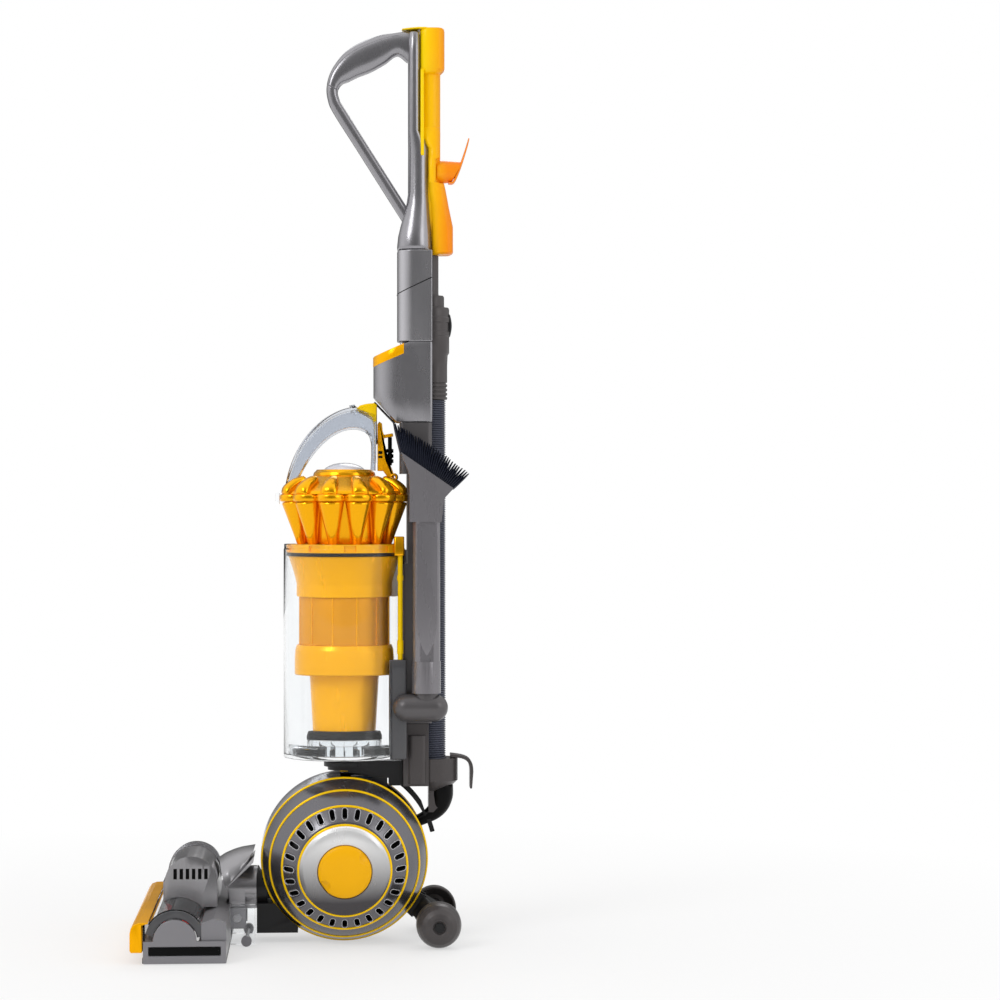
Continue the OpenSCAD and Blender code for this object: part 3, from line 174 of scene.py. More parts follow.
# Moulded looks: colour, roughness, and what differs from the values of plastic()
moulded = {
    "dark": ((.11, .11, .115), 0.36, dict(shine=0.25)),
    "black": ((.018, .018, .02), 0.4, dict(shine=0.12)),
    "silver": ((.86, .86, .88), 0.24, dict(metallic=0.95, **bare)),
    # painted light and shade: the hub disc's metal is near white at the top and fades to dark grey towards the bottom
    "gunmetalPaintedLight": ((.95, .95, .95), 0.26, dict(metallic=0.5, paintedShading=((.27, .26, .27), 2, 0.135, 0.055), **bare)),
    "midGrey": ((.36, .35, .355), 0.3, dict(metallic=0.35, shine=0.3)),
    "housingGrey": ((.60, .595, .605), 0.24, dict(metallic=0.8, **bare)),
    "lightGrey": ((.52, .515, .53), 0.3, dict(metallic=0.35, shine=0.3)),
    "ballGrey": ((.42, .415, .43), 0.26, dict(metallic=0.85, grain=0, coat=0.15)),
    "lipGrey": ((.80, .80, .82), 0.25, dict(metallic=0.5)),
    "handleGrey": ((.60, .595, .61), 0.27, dict(metallic=0.85, **bare)),
    "inlayGrey": ((.84, .84, .86), 0.26, dict(metallic=0.7, **bare)),
    "tubeGrey": ((.70, .695, .71), 0.25, dict(metallic=0.88, **bare)),
    "warmGrey": ((.30, .285, .285), 0.32, dict(metallic=0.3, shine=0.3)),
    "toolGrey": ((.50, .49, .505), 0.28, dict(metallic=0.5, grain=0.03)),
    "hoseGrey": ((.30, .31, .36), 0.3, dict(metallic=0.2)),
    "yellow": ((1.0, .82, .0), 0.26, dict(shine=0.16, **smooth)),
    # painted shade: the cap's yellow turns orange towards the back, standing for its shaded side
    "capYellowPaintedShade": ((1.0, .84, .0), 0.26, dict(shine=0.16, paintedShading=((.98, .56, .06), 1, 0.136, 0.165), **smooth)),
    "yellowGloss": ((1.0, .80, .0), 0.22, dict(metallic=0.3, shine=0.2, **smooth)),
    "orange": ((1.0, .70, .0), 0.24, dict(metallic=0.3, shine=0.08, **smooth)),
    "capOrange": ((.97, .71, .02), 0.26, dict(shine=0.16, **smooth)),
    "amber": ((1.0, .70, .02), 0.22, dict(metallic=0.8, grain=0.02, coat=0.1, shine=0.2)),
    "shroudYellow": ((1.0, .71, .0), 0.26, dict(grain=0.03, mottle=0.03, metallic=0.25, shine=0.16)),
    "smoke": ((.30, .30, .31), 0.18, dict(coat=0.15)),
    "domeClear": ((.90, .90, .93), 0.12, dict(grain=0.0, mottle=0.02, coat=0.5)),
    "blackRubber": ((.06, .06, .065), 0.6, dict(grain=0.35, mottle=0.12, grainScale=700)),
    "red": ((.80, .06, .09), 0.45),
    "metal": ((.80, .81, .83), 0.22, dict(metallic=1.0, grain=0.03)),
    "motor": ((.50, .40, .28), 0.45, dict(metallic=0.5)),
    "bristle": ((.09, .105, .16), 0.5, dict(grain=0.35, mottle=0.3, grainScale=700)),
}
looks = {name: plastic(name, colour, rough, **(more[0] if more else {})) for name,
    (colour, rough, *more) in moulded.items()}
looks.update({
    "mesh": etched("mesh", (1.0, .68, .08), 0.044, (170, 3300)),
    "clear": clearPlastic("clear", (.985, .99, .995)),
    "archClear": clearPlastic("archClear", (.84, .855, .88), 0.08),
    "filterBlue": felt("filterBlue", (.42, .60, .76)),
    "filterWhite": felt("filterWhite", (.88, .89, .90)),
})
nodeLook = {
    "dark": ["yoke", "sole_plate", "brush_bar", "motor_bucket", "cradle", "stand_frame", "sole_wheels"],
    "silver": ["centre_shell"], "housingGrey": ["neck_joint", "motor_housing"], "midGrey": ["rear_duct", "tool_holder"],
    "lightGrey": ["head_body", "end_caps", "rear_wheels"], "yellow": ["release_trigger", "push_rod"],
    "capYellowPaintedShade": ["wand_cap", "upper_hook"], "capOrange": ["filter_cap_right", "centre_cap_left"],
    "orange": ["bumper", "mouth_band"], "clear": ["brush_window", "bin", "bin_base", "carry_arch"],
    "motor": ["brush_motor", "vacuum_motor"],
    "metal": ["drive_pulley", "impeller"], "blackRubber": ["drive_belt", "ball_duct", "base_seal", "top_seal"],
    "red": ["brush_bristles", "power_button"], "ballGrey": ["ball_shell_right", "ball_shell_left"],
    "yellowGloss": ["ball_rings_right", "ball_rings_left"],
    "filterBlue": ["pre_filter"], "filterWhite": ["post_filter"],
    "warmGrey": ["valve_housing", "hose_cup", "lower_hook", "roller_right", "roller_left", "hose_cuff"],
    "toolGrey": ["combination_tool", "stair_tool"],
    "handleGrey": ["duct_housing", "handle_grip"], "tubeGrey": ["handle_tube"], "hoseGrey": ["hose"],
    "shroudYellow": ["shroud", "inner_cone"], "mesh": ["shroud_mesh"], "amber": ["cyclone_cones", "cyclone_crown"],
}
lookOf = {name: look for look, names in nodeLook.items() for name in names}
for name, look in lookOf.items():
    nodes[name].data.materials.clear()
    nodes[name].data.materials.append(looks[look])
print("materials done")


# New object of this data, linked to the scene
def linked(name, data):
    thing = bpy.data.objects.new(name, data)
    bpy.context.scene.collection.objects.link(thing)
    return thing


mergeWithin = 2e-6  # metres


# Tidies a mesh, shades it smooth apart from edges sharper than angle, and sets it on its body
def settle(name, mesh, look, body, replaced=(), angle=38):
    tidy = bmesh.new()
    tidy.from_mesh(mesh)
    bmesh.ops.remove_doubles(tidy, verts=tidy.verts, dist=mergeWithin)
    bmesh.ops.dissolve_degenerate(tidy, edges=tidy.edges, dist=1e-7)
    bmesh.ops.recalc_face_normals(tidy, faces=tidy.faces)
    tidy.to_mesh(mesh)
    tidy.free()
    mesh.polygons.foreach_set("use_smooth", [True] * len(mesh.polygons))
    mesh.set_sharp_from_angle(angle=math.radians(angle))
    mesh.materials.clear()
    mesh.materials.append(looks[look])
    piece = linked(name, mesh)
    if body:
        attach(piece, body)
    if replaced:
        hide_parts(*replaced)
    piece.visible_shadow = look not in ("clear", "archClear")
    return piece


# Quads between neighbouring rows and columns of each grid, given in millimetres; end rows are closed by one face each
def putGrids(name, grids, look, body, replaced=(), angle=38, loop=True, closed=False, caps=True,
        without=None):
    points, faces, start = [], [], 0
    for grid in grids:
        rows, columns = grid.shape[:2]
        i, j = np.meshgrid(np.arange(rows if closed else rows - 1), np.arange(columns if loop else columns - 1),
            indexing="ij")
        if without is not None:
            i, j = i[~without], j[~without]
        k, m = (i + 1) % rows, (j + 1) % columns
        faces += (np.stack([i * columns + j, i * columns + m, k * columns + m, k * columns + j], -1).reshape(-1,
            4) + start).tolist()
        if caps and loop and not closed:
            faces += [list(range(start, start + columns)), list(range(start + (rows - 1) * columns,
                start + rows * columns))]
        points.append(grid.reshape(-1, 3))
        start += rows * columns
    mesh = bpy.data.meshes.new(name)
    mesh.from_pydata(np.concatenate(points) * 0.001, [], faces)
    return settle(name, mesh, look, body, replaced, angle)


# Corners of an outline turned into arcs: (1-t)^2 a + 2t(1-t) b + t^2 c between points set back from the corner b
def rounded(outline, radius, steps=4, closed=True):
    p = np.asarray(outline, float)
    out = []
    for i in range(len(p)):
        a, b, c = p[i - 1], p[i], p[(i + 1) % len(p)]
        u, v = a - b, c - b
        lu, lv = np.linalg.norm(u), np.linalg.norm(v)
        half = math.acos(float(np.clip(u @ v / max(lu * lv, 1e-9), -1, 1))) / 2
        r = radius[i] if hasattr(radius, "__len__") else radius
        if (not closed and i in (0, len(p) - 1)) or r <= 0 or half > math.radians(86) or min(lu, lv) < 1e-6:
            out.append(b)
            continue
        reach = min(r / max(math.tan(half), 1e-6), lu * 0.45, lv * 0.45)
        for t in np.linspace(0, 1, steps + 1):
            out.append((1 - t) ** 2 * (b + u / lu * reach) + 2 * t * (1 - t) * b + t * t * (b + v / lv * reach))
    return np.array(out)


# Catmull-Rom curve: 0.5 (2b + (c-a)f + (2a-5b+4c-d)f^2 + (3b-3c+d-a)f^3) on each span between b and c
def smoothPath(points, count, closed=False):
    p = np.asarray(points, float)
    q = np.vstack([p[-1], p, p[0], p[1]]) if closed else np.vstack([2 * p[0] - p[1], p, 2 * p[-1] - p[-2]])
    t = np.linspace(0, len(q) - 3, count, endpoint=not closed)
    i = np.minimum(t.astype(int), len(q) - 4)
    f = (t - i)[:, None]
    a, b, c, d = q[i], q[i + 1], q[i + 2], q[i + 3]
    return 0.5 * (2 * b + (c - a) * f + (2 * a - 5 * b + 4 * c - d) * f ** 2 + (3 * b - 3 * c + d - a) * f ** 3)


# Angles of n points round a circle
def around(n):
    return np.linspace(0, 2 * math.pi, n, endpoint=False)


# Signed power: sign(w) |w|^p
def signed(w, p):
    return np.sign(w) * np.abs(w) ** p


# An axis as a unit vector, and two unit vectors square to it
def basis(axis):
    a = np.asarray(axis, float) / np.linalg.norm(axis)
    first = np.cross((0, 1, 0) if abs(a[1]) < 0.9 else (1, 0, 0), a)
    first /= np.linalg.norm(first)
    return a, first, np.cross(a, first)


# Points about an axis: at + r (cos t u + sin t v) + d a
def aboutAxis(r, t, d, at, axis):
    a, u, v = basis(axis)
    r, t, d = (k[..., None] for k in np.broadcast_arrays(r, t, d))
    return np.asarray(at, float) + r * (np.cos(t) * u + np.sin(t) * v) + d * a


# Surface of revolution of a profile given as (r, d)
def revolved(profile, at=(0, 0, 0), axis=(0, 0, 1), steps=96):
    profile = np.asarray(profile, float)
    return aboutAxis(profile[:, :1], around(steps), profile[:, 1:], at, axis)


# Section |x|^n + |y|^n = 1, scaled to halfSide and halfOut, carried along centres; endRound turns both ends in
# by a quarter circle
def bar(centres, side, halfSide, halfOut, square=2.0, steps=32, endRound=0.0):
    c = np.asarray(centres, float)
    n = len(c)
    tangent = np.gradient(c, axis=0)
    tangent /= np.linalg.norm(tangent, axis=1)[:, None]
    s = np.broadcast_to(np.asarray(side, float), c.shape).copy()
    s -= (s * tangent).sum(1)[:, None] * tangent
    s /= np.linalg.norm(s, axis=1)[:, None]
    out = np.cross(tangent, s)
    a, b, q = (np.broadcast_to(np.asarray(k, float), (n,)).astype(float) for k in (halfSide, halfOut, square))
    if endRound > 0:
        length = np.r_[0, np.cumsum(np.linalg.norm(np.diff(c, axis=0), axis=1))]
        rise = endRound * (1 - np.cos(np.linspace(0, 1, 6)[:-1] * math.pi / 2))
        inside = length[(length > endRound) & (length < length[-1] - endRound)]
        stations = np.r_[rise, inside, length[-1] - rise[::-1]]
        near = np.minimum(np.minimum(stations, length[-1] - stations) / endRound, 1)
        cut = endRound * (1 - np.sqrt(np.maximum(1 - (1 - near) ** 2, 0)))
        c, s, out = (np.stack([np.interp(stations, length, w[:, i]) for i in range(3)], -1) for w in (c, s, out))
        a, b, q = (np.interp(stations, length, w) for w in (a, b, q))
        a, b = np.maximum(a - cut, 1e-3), np.maximum(b - cut, 1e-3)
    t = around(steps)
    cx, cy = (signed(w, 2 / q[:, None]) for w in (np.cos(t), np.sin(t)))
    return c[:, None] + (a[:, None] * cx)[..., None] * s[:, None] + (b[:, None] * cy)[..., None] * out[:, None]


# Thin ring of round section along a closed path, section axes out from the path's middle and across it
def loopTube(path, radius, steps=8):
    c = np.asarray(path, float)
    tangent = np.roll(c, -1, 0) - np.roll(c, 1, 0)
    tangent /= np.linalg.norm(tangent, axis=1)[:, None]
    out = c - c.mean(0)
    out -= (out * tangent).sum(1)[:, None] * tangent
    out /= np.linalg.norm(out, axis=1)[:, None]
    up = np.cross(tangent, out)
    t = around(steps)
    return c[:, None] + radius * (np.cos(t)[None, :, None] * out[:, None] + np.sin(t)[None, :, None] * up[:, None])


# Outline of (a, b) points carried along x, y or z from lo to hi.
# At both ends it moves in by edge (1 - sin k) as it rises by edge (1 - cos k)
def plate(outline, lo, hi, axis="x", edge=1.2, turns=4):
    p = np.asarray(outline, float)
    before, after = p - np.roll(p, 1, 0), np.roll(p, -1, 0) - p
    unit = lambda w: w / np.maximum(np.linalg.norm(w, axis=1)[:, None], 1e-9)
    n = unit(np.stack([before[:, 1], -before[:, 0]], -1)) + unit(np.stack([after[:, 1], -after[:, 0]], -1))
    n = unit(n) if (np.cross(p, np.roll(p, -1, 0)).sum() > 0) else -unit(n)
    k = np.linspace(0, math.pi / 2, turns + 1)
    turnIn, rise = edge * (1 - np.sin(k)), edge * (1 - np.cos(k))
    inset, along = np.r_[turnIn, turnIn[::-1]], np.r_[lo + rise, (hi - rise)[::-1]]
    flat = p[None] - n[None] * inset[:, None, None]
    w = np.broadcast_to(along[:, None, None], flat[..., :1].shape)
    order = {"x": (w, flat[..., :1], flat[..., 1:]), "y": (flat[..., :1], w, flat[..., 1:]),
        "z": (flat[..., :1], flat[..., 1:], w)}
    return np.concatenate(order[axis], -1)


# Rounded rectangle: quarter circles of radius r about the four inner corners
def roundRect(x0, x1, y0, y1, r, perCorner=6):
    r = min(r, (x1 - x0) / 2 - 0.01, (y1 - y0) / 2 - 0.01)
    t = np.linspace(0, math.pi / 2, perCorner + 1)
    places = ((x1 - r, y1 - r, 0), (x0 + r, y1 - r, 1), (x0 + r, y0 + r, 2), (x1 - r, y0 + r, 3))
    return np.concatenate([np.stack([cx + r * np.cos(t + q * math.pi / 2), cy + r * np.sin(t + q * math.pi / 2)], -1)
        for cx, cy, q in places])


# Stack of rounded rectangles whose two ends turn in over edge: rows of (z, x0, x1, y0, y1, r),
# or of (z, x1, y0, y1, r) where x0 = -x1
def tower(rows, edge=1.5, perCorner=6):
    rows = np.asarray(rows, float)
    if rows.shape[1] == 5:
        rows = np.c_[rows[:, 0], -rows[:, 1], rows[:, 1:]]
    k = np.linspace(0, 1, 5)[:-1]
    rise, turnIn = (edge * (1 - f(k * math.pi / 2)) for f in (np.cos, np.sin))
    zs = np.r_[rows[0, 0] + rise, rows[1:-1, 0], rows[-1, 0] - rise[::-1]]
    inset = np.r_[turnIn, np.zeros(len(rows) - 2), turnIn[::-1]]
    layers = []
    for z, e in zip(zs, inset):
        x0, x1, y0, y1, r = (float(np.interp(z, rows[:, 0], rows[:, c])) for c in range(1, 6))
        flat = roundRect(x0 + e, x1 - e, y0 + e, y1 - e, max(r - e, 0.3), perCorner)
        layers.append(np.c_[flat, np.full(len(flat), z)])
    return np.array(layers)


# Copy of a CAD node with doubles merged and flat faces joined, whose sharp edges are rounded by a Bevel;
# cut is a plane (point, normal) beyond which the copy ends
def softened(node, width, look=None, segments=3, sharp=32, cut=None):
    mesh = nodes[node].data.copy()
    tidy = bmesh.new()
    tidy.from_mesh(mesh)
    bmesh.ops.remove_doubles(tidy, verts=tidy.verts, dist=mergeWithin)
    if cut:
        bmesh.ops.bisect_plane(tidy, geom=tidy.verts[:] + tidy.edges[:] + tidy.faces[:],
            plane_co=Vector(cut[0]) / 1000, plane_no=cut[1], clear_outer=True)
        bmesh.ops.holes_fill(tidy, edges=[e for e in tidy.edges if e.is_boundary], sides=0)
    bmesh.ops.dissolve_limit(tidy, angle_limit=math.radians(1.5), verts=tidy.verts, edges=tidy.edges)
    tidy.to_mesh(mesh)
    tidy.free()
    piece = settle(node + ".soft", mesh, look or lookOf[node], bodyOf[node], [node], angle=sharp)
    if width:
        edge = piece.modifiers.new("edge", "BEVEL")
        edge.width, edge.segments = width / 1000, segments
        edge.limit_method, edge.angle_limit = "ANGLE", math.radians(sharp)
        edge.harden_normals, edge.use_clamp_overlap = True, True
    return piece


print("helpers done")

# Ball: two half shells, slots cut in the right one only, with rings, hub discs and turning caps
ball = {"at": (0, 44.0, 99.986), "skin": 99.6, "rim": 25.5, "tilt": 6.5, "wall": 2.6, "slots": 28, "slotFrom": 58.6,
    "slotTo": 70.3, "slotHalf": 2.9, "lip": 0.38, "rings": (27.2, 50, 69, 84.3), "ringHalf": 1.5, "ringHeight": 1.3,
    "notches": (125, 305), "notchAt": 29.5, "notchR": 7.5, "notchDeep": 3.4, "notchFloor": 87.5, "hub": ((7.3, 87),
    (31.2, 87), (31.2, 90.3), (31.9, 90.8), (36, 90.7), (42, 90.0), (47.5, 88.6), (50.6, 87.0), (53.2, 84.4)),
    "cap": ((0.4, 97), (8, 96.9), (15, 96.5), (21, 95.7), (26, 94.4), (28.6, 93.3), (30.1, 92.2), (30.6, 90.9),
    (30.6, 87.6))}


# Centre, axle and name of one half; the axle leans down by tilt
def ballHalf(side):
    lean = math.radians(ball["tilt"])
    return ball["at"], (side * math.cos(lean), 0, -math.sin(lean)), "Right" if side > 0 else "Left"


# Skin: d = sqrt(skin^2 - r^2). In the slotted band each slot's edge stands at angle asin(h / r),
# with h = sqrt(w^2 - e^2) in its round ends
def ballShell(side):
    at, axis, tag = ballHalf(side)
    w, lo, hi, skin = ball["slotHalf"], ball["slotFrom"], ball["slotTo"], ball["skin"]
    r = np.array([54.0, 56.5, 57.8, lo, lo + 0.35, lo + 1.2, lo + w, (lo + hi) / 2, hi - w, hi - 1.2, hi - 0.35, hi,
        hi + 0.8, hi + 2,
                  75, 78, 81, 84, 86.5, 88.7, 90.6, 92.2, 93.6, 94.8, 95.7])
    profile = np.vstack([np.stack([r, np.sqrt(skin ** 2 - r ** 2)], -1),
        [[math.sqrt(skin ** 2 - ball["rim"] ** 2), ball["rim"]]]])
    r = profile[:, 0]
    half = math.pi / ball["slots"]
    e = np.maximum(np.maximum(lo + w - r, r - (hi - w)), 0)
    band = (r >= lo - 1e-6) & (r <= hi + 1e-6)
    eta = np.arcsin(np.where(band, np.sqrt(np.maximum(w * w - e * e, 0.09)), w) / r)
    local = np.stack([-half + 0 * eta, -(half + eta) / 2, -eta, eta, (half + eta) / 2], -1)
    turn = ((np.arange(ball["slots"]) * 2 * half)[None, :, None] + local[:, None, :]).reshape(len(r), -1)
    grid = aboutAxis(r[:, None], turn, profile[:, 1:], at, axis)
    without = np.zeros((len(r) - 1, turn.shape[1]), bool)
    if side > 0:
        rows = np.flatnonzero(band)
        without[rows[0]:rows[-1], 2::5] = True
    body = "ball_" + tag.lower()
    piece = putGrids("ballShell" + tag, [grid], "ballGrey", body, ["ball_shell_" + tag.lower()],
        caps=False, without=without)
    wall = piece.modifiers.new("wall", "SOLIDIFY")
    wall.thickness, wall.offset = ball["wall"] / 1000, -1
    hub = rounded(ball["hub"] + ((49, 82.0), (7.3, 82.0)), 0.7, 3)
    # the hub disc carries painted light and shade: light at the top, dark towards the bottom
    putGrids("hubDisc" + tag, [revolved(hub, at, axis, 128)], "gunmetalPaintedLight", body, closed=True)


# Rings: rounded bands on the skin at each distance along the axle.
# Cap: near two notches it sinks by deep (1 - (g / R)^2)^0.6, g being the distance from the notch
def ballTrim(side):
    at, axis, tag = ballHalf(side)
    body = "ball_" + tag.lower()
    t = around(14)
    out = ball["skin"] + np.where(np.sin(t) > 0, np.sin(t) * ball["ringHeight"], np.sin(t) * 0.3)
    along = signed(np.cos(t), 0.7) * ball["ringHalf"]
    rings = []
    for d in ball["rings"]:
        lean = math.asin(d / ball["skin"])
        c, s = math.cos(lean), math.sin(lean)
        rings.append(revolved(np.stack([out * c - along * s, out * s + along * c], -1), at, axis, 160))
    putGrids("ballRings" + tag, rings, "yellowGloss", body, ["ball_rings_" + tag.lower()], closed=True)
    profile = smoothPath(ball["cap"], 30)
    r, t = np.broadcast_arrays(profile[:, :1], around(144))
    drop = np.zeros_like(r)
    for notch in np.radians(ball["notches"]):
        x, y = ball["notchAt"] * math.cos(notch), ball["notchAt"] * math.sin(notch)
        g = np.hypot(r * np.cos(t) - x, r * np.sin(t) - y)
        drop += ball["notchDeep"] * np.clip(1 - (g / ball["notchR"]) ** 2, 0, 1) ** 0.6
    grid = aboutAxis(r, t, np.maximum(profile[:, 1:] - drop, ball["notchFloor"]), at, axis)
    putGrids("filterCap" if side > 0 else "centreCap", [grid], "capOrange", "cap_" + tag.lower(),
             ["filter_cap_right" if side > 0 else "centre_cap_left"])


# Bright lips: obrounds x = m + w cos t + l sign(cos t), y = w sin t, laid on the skin
def slotLips():
    at, axis, _ = ballHalf(1)
    w, lo, hi = ball["slotHalf"] + 0.3, ball["slotFrom"], ball["slotTo"]
    t = around(28)
    straight = (hi - lo) / 2 - ball["slotHalf"]
    x = (lo + hi) / 2 + w * np.cos(t) + straight * np.sign(np.cos(t)) * (np.abs(np.cos(t)) > 0.03)
    y = w * np.sin(t)
    r = np.hypot(x, y)
    d = np.sqrt((ball["skin"] + 0.02) ** 2 - r ** 2)
    lips = [loopTube(aboutAxis(r, np.arctan2(y, x) + turn, d, at, axis), ball["lip"], 6)
        for turn in around(ball["slots"])]
    putGrids("slotLips", lips, "lipGrey", "ball_right", closed=True)


for side in (1, -1):
    ballShell(side)
    ballTrim(side)
slotLips()
print("ball done")

# Stand rollers: hollow mushroom treads on metal pins
roller = {"at": (0, 152, 26), "pin": ((0.3, 98.9), (2.2, 98.9), (2.6, 98.4), (4.4, 98.3), (5.2, 98.0), (5.5, 97.2),
    (5.5, 90)), "tread": ((5.6, 59), (9, 59), (9, 85), (14, 85), (23, 74), (23, 64.4), (23.6, 63.4), (25, 63),
    (26, 64.2), (26, 75), (25.5, 81.5), (23.6, 87.5), (20.2, 92.8), (15.4, 96.6), (10.6, 98.4), (8.4, 98.8),
    (7.6, 98.4), (7.2, 97), (5.7, 97))}
for side, tag in ((1, "right"), (-1, "left")):
    tread = revolved(rounded(roller["tread"], 0.8, 3), roller["at"], (side, 0, 0), 96)
    putGrids("roller." + tag, [tread], "warmGrey", "stand_roller_" + tag, ["roller_" + tag], closed=True)
    putGrids("rollerPin." + tag, [revolved(roller["pin"], roller["at"], (side, 0, 0), 40)], "metal", "stand")
print("rollers done")

# Ribbed hose and its cuff on the wand
hose = {"y": 145, "low": 203, "high": 631.6, "crest": 18, "root": 16.3, "bore": 14, "ribs": 165, "perRib": 6,
    "steps": 48}
cuff = {"low": 632, "clip": (7, 3.2), "grooves": (19.6, 18.2), "foot": ((14, 0), (18.8, 0), (19.6, 0.8)),
    "top": ((19.6, 40), (20.2, 52), (22, 55), (22, 74), (22.9, 75), (22.9, 79.5), (22, 80.5), (22, 90), (22.9, 91),
    (22.9, 96), (22, 97), (22, 106), (21, 108), (16.4, 108.6), (16, 110), (16, 120), (15, 122), (9.9, 122.5),
    (9.4, 124), (9.4, 169), (4, 169), (4, 100), (14, 96))}


# Radius = root + (crest - root) (0.5 - 0.5 cos 2 pi n)^0.7, n counting ribs up the hose
def hosePiece():
    n = np.linspace(0, hose["ribs"], hose["ribs"] * hose["perRib"] + 1)
    r = hose["root"] + (hose["crest"] - hose["root"]) * (0.5 - 0.5 * np.cos(2 * math.pi * n)) ** 0.7
    z = hose["low"] + (hose["high"] - hose["low"]) * n / hose["ribs"]
    inner = np.stack([np.full(9, hose["bore"]), np.linspace(hose["high"], hose["low"], 9)], -1)
    skin = revolved(np.vstack([np.stack([r, z], -1), inner]), (0, hose["y"], 0), steps=hose["steps"])
    piece = putGrids("ribbedHose", [skin], "hoseGrey", None, ["hose"], angle=80, closed=True)
    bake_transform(piece)


def cuffPieces():
    y, z, (wide, thick) = hose["y"], cuff["low"], cuff["clip"]
    crest, root = cuff["grooves"]
    grooves = [(r, 3 + 5 * k + h) for k in range(4) for r, h in ((crest, 0), (root, 0.4), (root, 1.8), (crest, 2.2))]
    profile = np.array([*cuff["foot"], *grooves, *cuff["top"]]) + (0, z)
    putGrids("hoseCuff", [revolved(profile, (0, y, 0))], "warmGrey", "wand", ["hose_cuff"], closed=True)
    way = [(0, y + 19.6 + 2.2 * math.sin(k * math.pi), z + 74 + 26 * k) for k in np.linspace(0, 1, 15)]
    clip = bar(way, (1, 0, 0), wide, thick, 3.5, endRound=1.4)
    putGrids("cuffClip", [clip], "dark", "wand")


hosePiece()
cuffPieces()
print("hose done")

# Clear bin with its base, seals, shroud and inner cone, all turned about one upright axis
dustBin = {"y": 44, "r": 71, "wall": 2.2, "low": 219.2, "high": 463, "mesh": (346, 400.5, 53), "posts": 12,
    "baseRibs": 24, "ringR": 68.4, "dents": 10, "dent": 2.6}


def turnedPiece(name, profiles, look, replaced=(), radius=0.6):
    grids = [revolved(rounded(p, radius, 3), (0, dustBin["y"], 0), steps=144) for p in profiles]
    putGrids(name, grids, look, "bin_group", replaced, closed=True)


def binPieces():
    b = dustBin
    r, inner, z0, z1 = b["r"], b["r"] - b["wall"], b["low"], b["high"]
    turnedPiece("binWall", [[(inner, z0), (r, z0), (r, z1 - 6), (r - 0.6, z1 - 5), (r - 0.6, z1 - 0.6), (r - 0.8, z1),
        (inner, z1)]], "clear", radius=0.3)
    cover = bar([(37.2, 105.4, z) for z in np.linspace(213.6, 329.2, 12)], (1, 0, 0), 7.6, 10.6, 6, 32, endRound=2)
    putGrids("rodCover", [cover], "smoke", "bin_group", ["bin"])
    turnedPiece("binBase", [[(0.4, 213.4), (66, 213.4), (70.4, 214), (71, 215), (71, 218.9), (68.4, 219.1),
        (66.5, 218.2), (0.4, 218.2)],
                            [(41.2, 218), (43.4, 218), (43.4, 236.9), (41.2, 236.9)],
                            [(63.8, 218), (65.2, 218), (65.2, 231), (63.8, 231)]],
                "clear", ["bin_base"], radius=0.5)
    ribs = []
    for t in around(b["baseRibs"]):
        c, s = math.cos(t), math.sin(t)
        ribs.append(bar([(q * c, b["y"] + q * s, 222.5) for q in (43.5, 50, 57, 63.7)], (-s, c, 0), 0.6, 4.4, 6, 8))
    putGrids("baseRibs", ribs, "clear", "bin_group")
    turnedPiece("baseSeal", [[(36.3, 237.2), (43.9, 237.2), (43.9, 242), (42, 247), (37, 247.6), (36.4, 246)]],
        "blackRubber", ["base_seal"])
    turnedPiece("topSeal", [[(63.2, 449), (68.6, 449), (68.7, 450), (68.7, 452.4), (68.3, 453), (63.2, 453)]],
        "blackRubber", ["top_seal"])
    turnedPiece("shroudCone", [[(52.8, 400.8), (55.4, 400.8), (56.0, 402), (56.0, 415), (57.6, 422), (60.8, 433),
        (64.4, 444), (66.6, 448.8), (62.8, 448.8),
                                (60, 440), (55, 420), (52.8, 414)],
                               [(41, 311.1), (56.8, 311.1), (58, 312.3), (58, 330), (57.4, 340), (55.4, 345.6),
                               (52, 346), (52, 343), (55, 330), (55, 314.4), (41, 314.2)]],
                "shroudYellow", ["shroud"])
    # the ring over the seal steps in for 0.3 of each of its dents
    turn = around(480)
    z = np.array([453.1, 454.3, 454.5, 461.2, 461.4, 462.7, 462.8])[:, None]
    dent = ((turn * b["dents"] / (2 * math.pi)) % 1 < 0.3)[None] * np.array([0, 0, 1, 1, 0, 0, 0])[:, None] * b["dent"]
    q = np.array([b["ringR"]] * 6 + [62])[:, None] - dent
    putGrids("slottedRing", [np.stack([q * np.cos(turn), b["y"] + q * np.sin(turn), z + 0 * q], -1)], "shroudYellow",
        "bin_group", angle=30)
    lo, hi, m = b["mesh"]
    turnedPiece("meshScreen", [[(m - 0.6, lo), (m + 0.1, lo), (m + 0.1, hi), (m - 0.6, hi)]], "mesh", ["shroud_mesh"],
        radius=0.1)
    posts = []
    for t in math.pi / b["posts"] + around(b["posts"]):
        c, s = math.cos(t), math.sin(t)
        posts.append(bar([((m + 0.2) * c, b["y"] + (m + 0.2) * s, h) for h in np.linspace(lo, hi, 5)], (-s, c, 0), 0.8,
            0.5, 3, 10))
    putGrids("meshPosts", posts, "amber", "bin_group")
    turnedPiece("innerCone", [[(34, 237.6), (36, 237.6), (36.2, 238.4), (40.3, 308), (40.6, 311), (40.6, 428),
        (45, 460), (43, 460), (38.6, 428), (38.4, 311)]],
                "shroudYellow", ["inner_cone"])


# Ring of cones, lobed rim and domed crown
cyclones = {"count": 12, "first": 15, "footR": 51.5, "topR": 60, "low": 463.2, "height": 50, "cone": ((0.3, -0.6),
    (3.8, -0.5), (5.0, 0.2), (5.6, 2), (8.4, 16.7), (12.0, 34.5), (14.6, 47.2), (15.1, 49.5), (14.2, 51.3)),
    "rim": ((60, 14.4, 512.4), (60, 16.4, 512.9), (60, 17.2, 514), (60, 17.5, 515.4), (60, 17.5, 519),
    (60, 17.0, 520.4), (60, 15.9, 521), (60, 13.5, 521.2), (57, 12, 521.3), (40, 0, 521.3)), "duct": ((71.5, 519.5),
    (68.5, 525.5), (63.5, 530.5), (57.5, 534.5), (51, 537.8), (46.5, 539.4)), "lug": (30.4, 43.6, 101, 113.2, 2.5)}


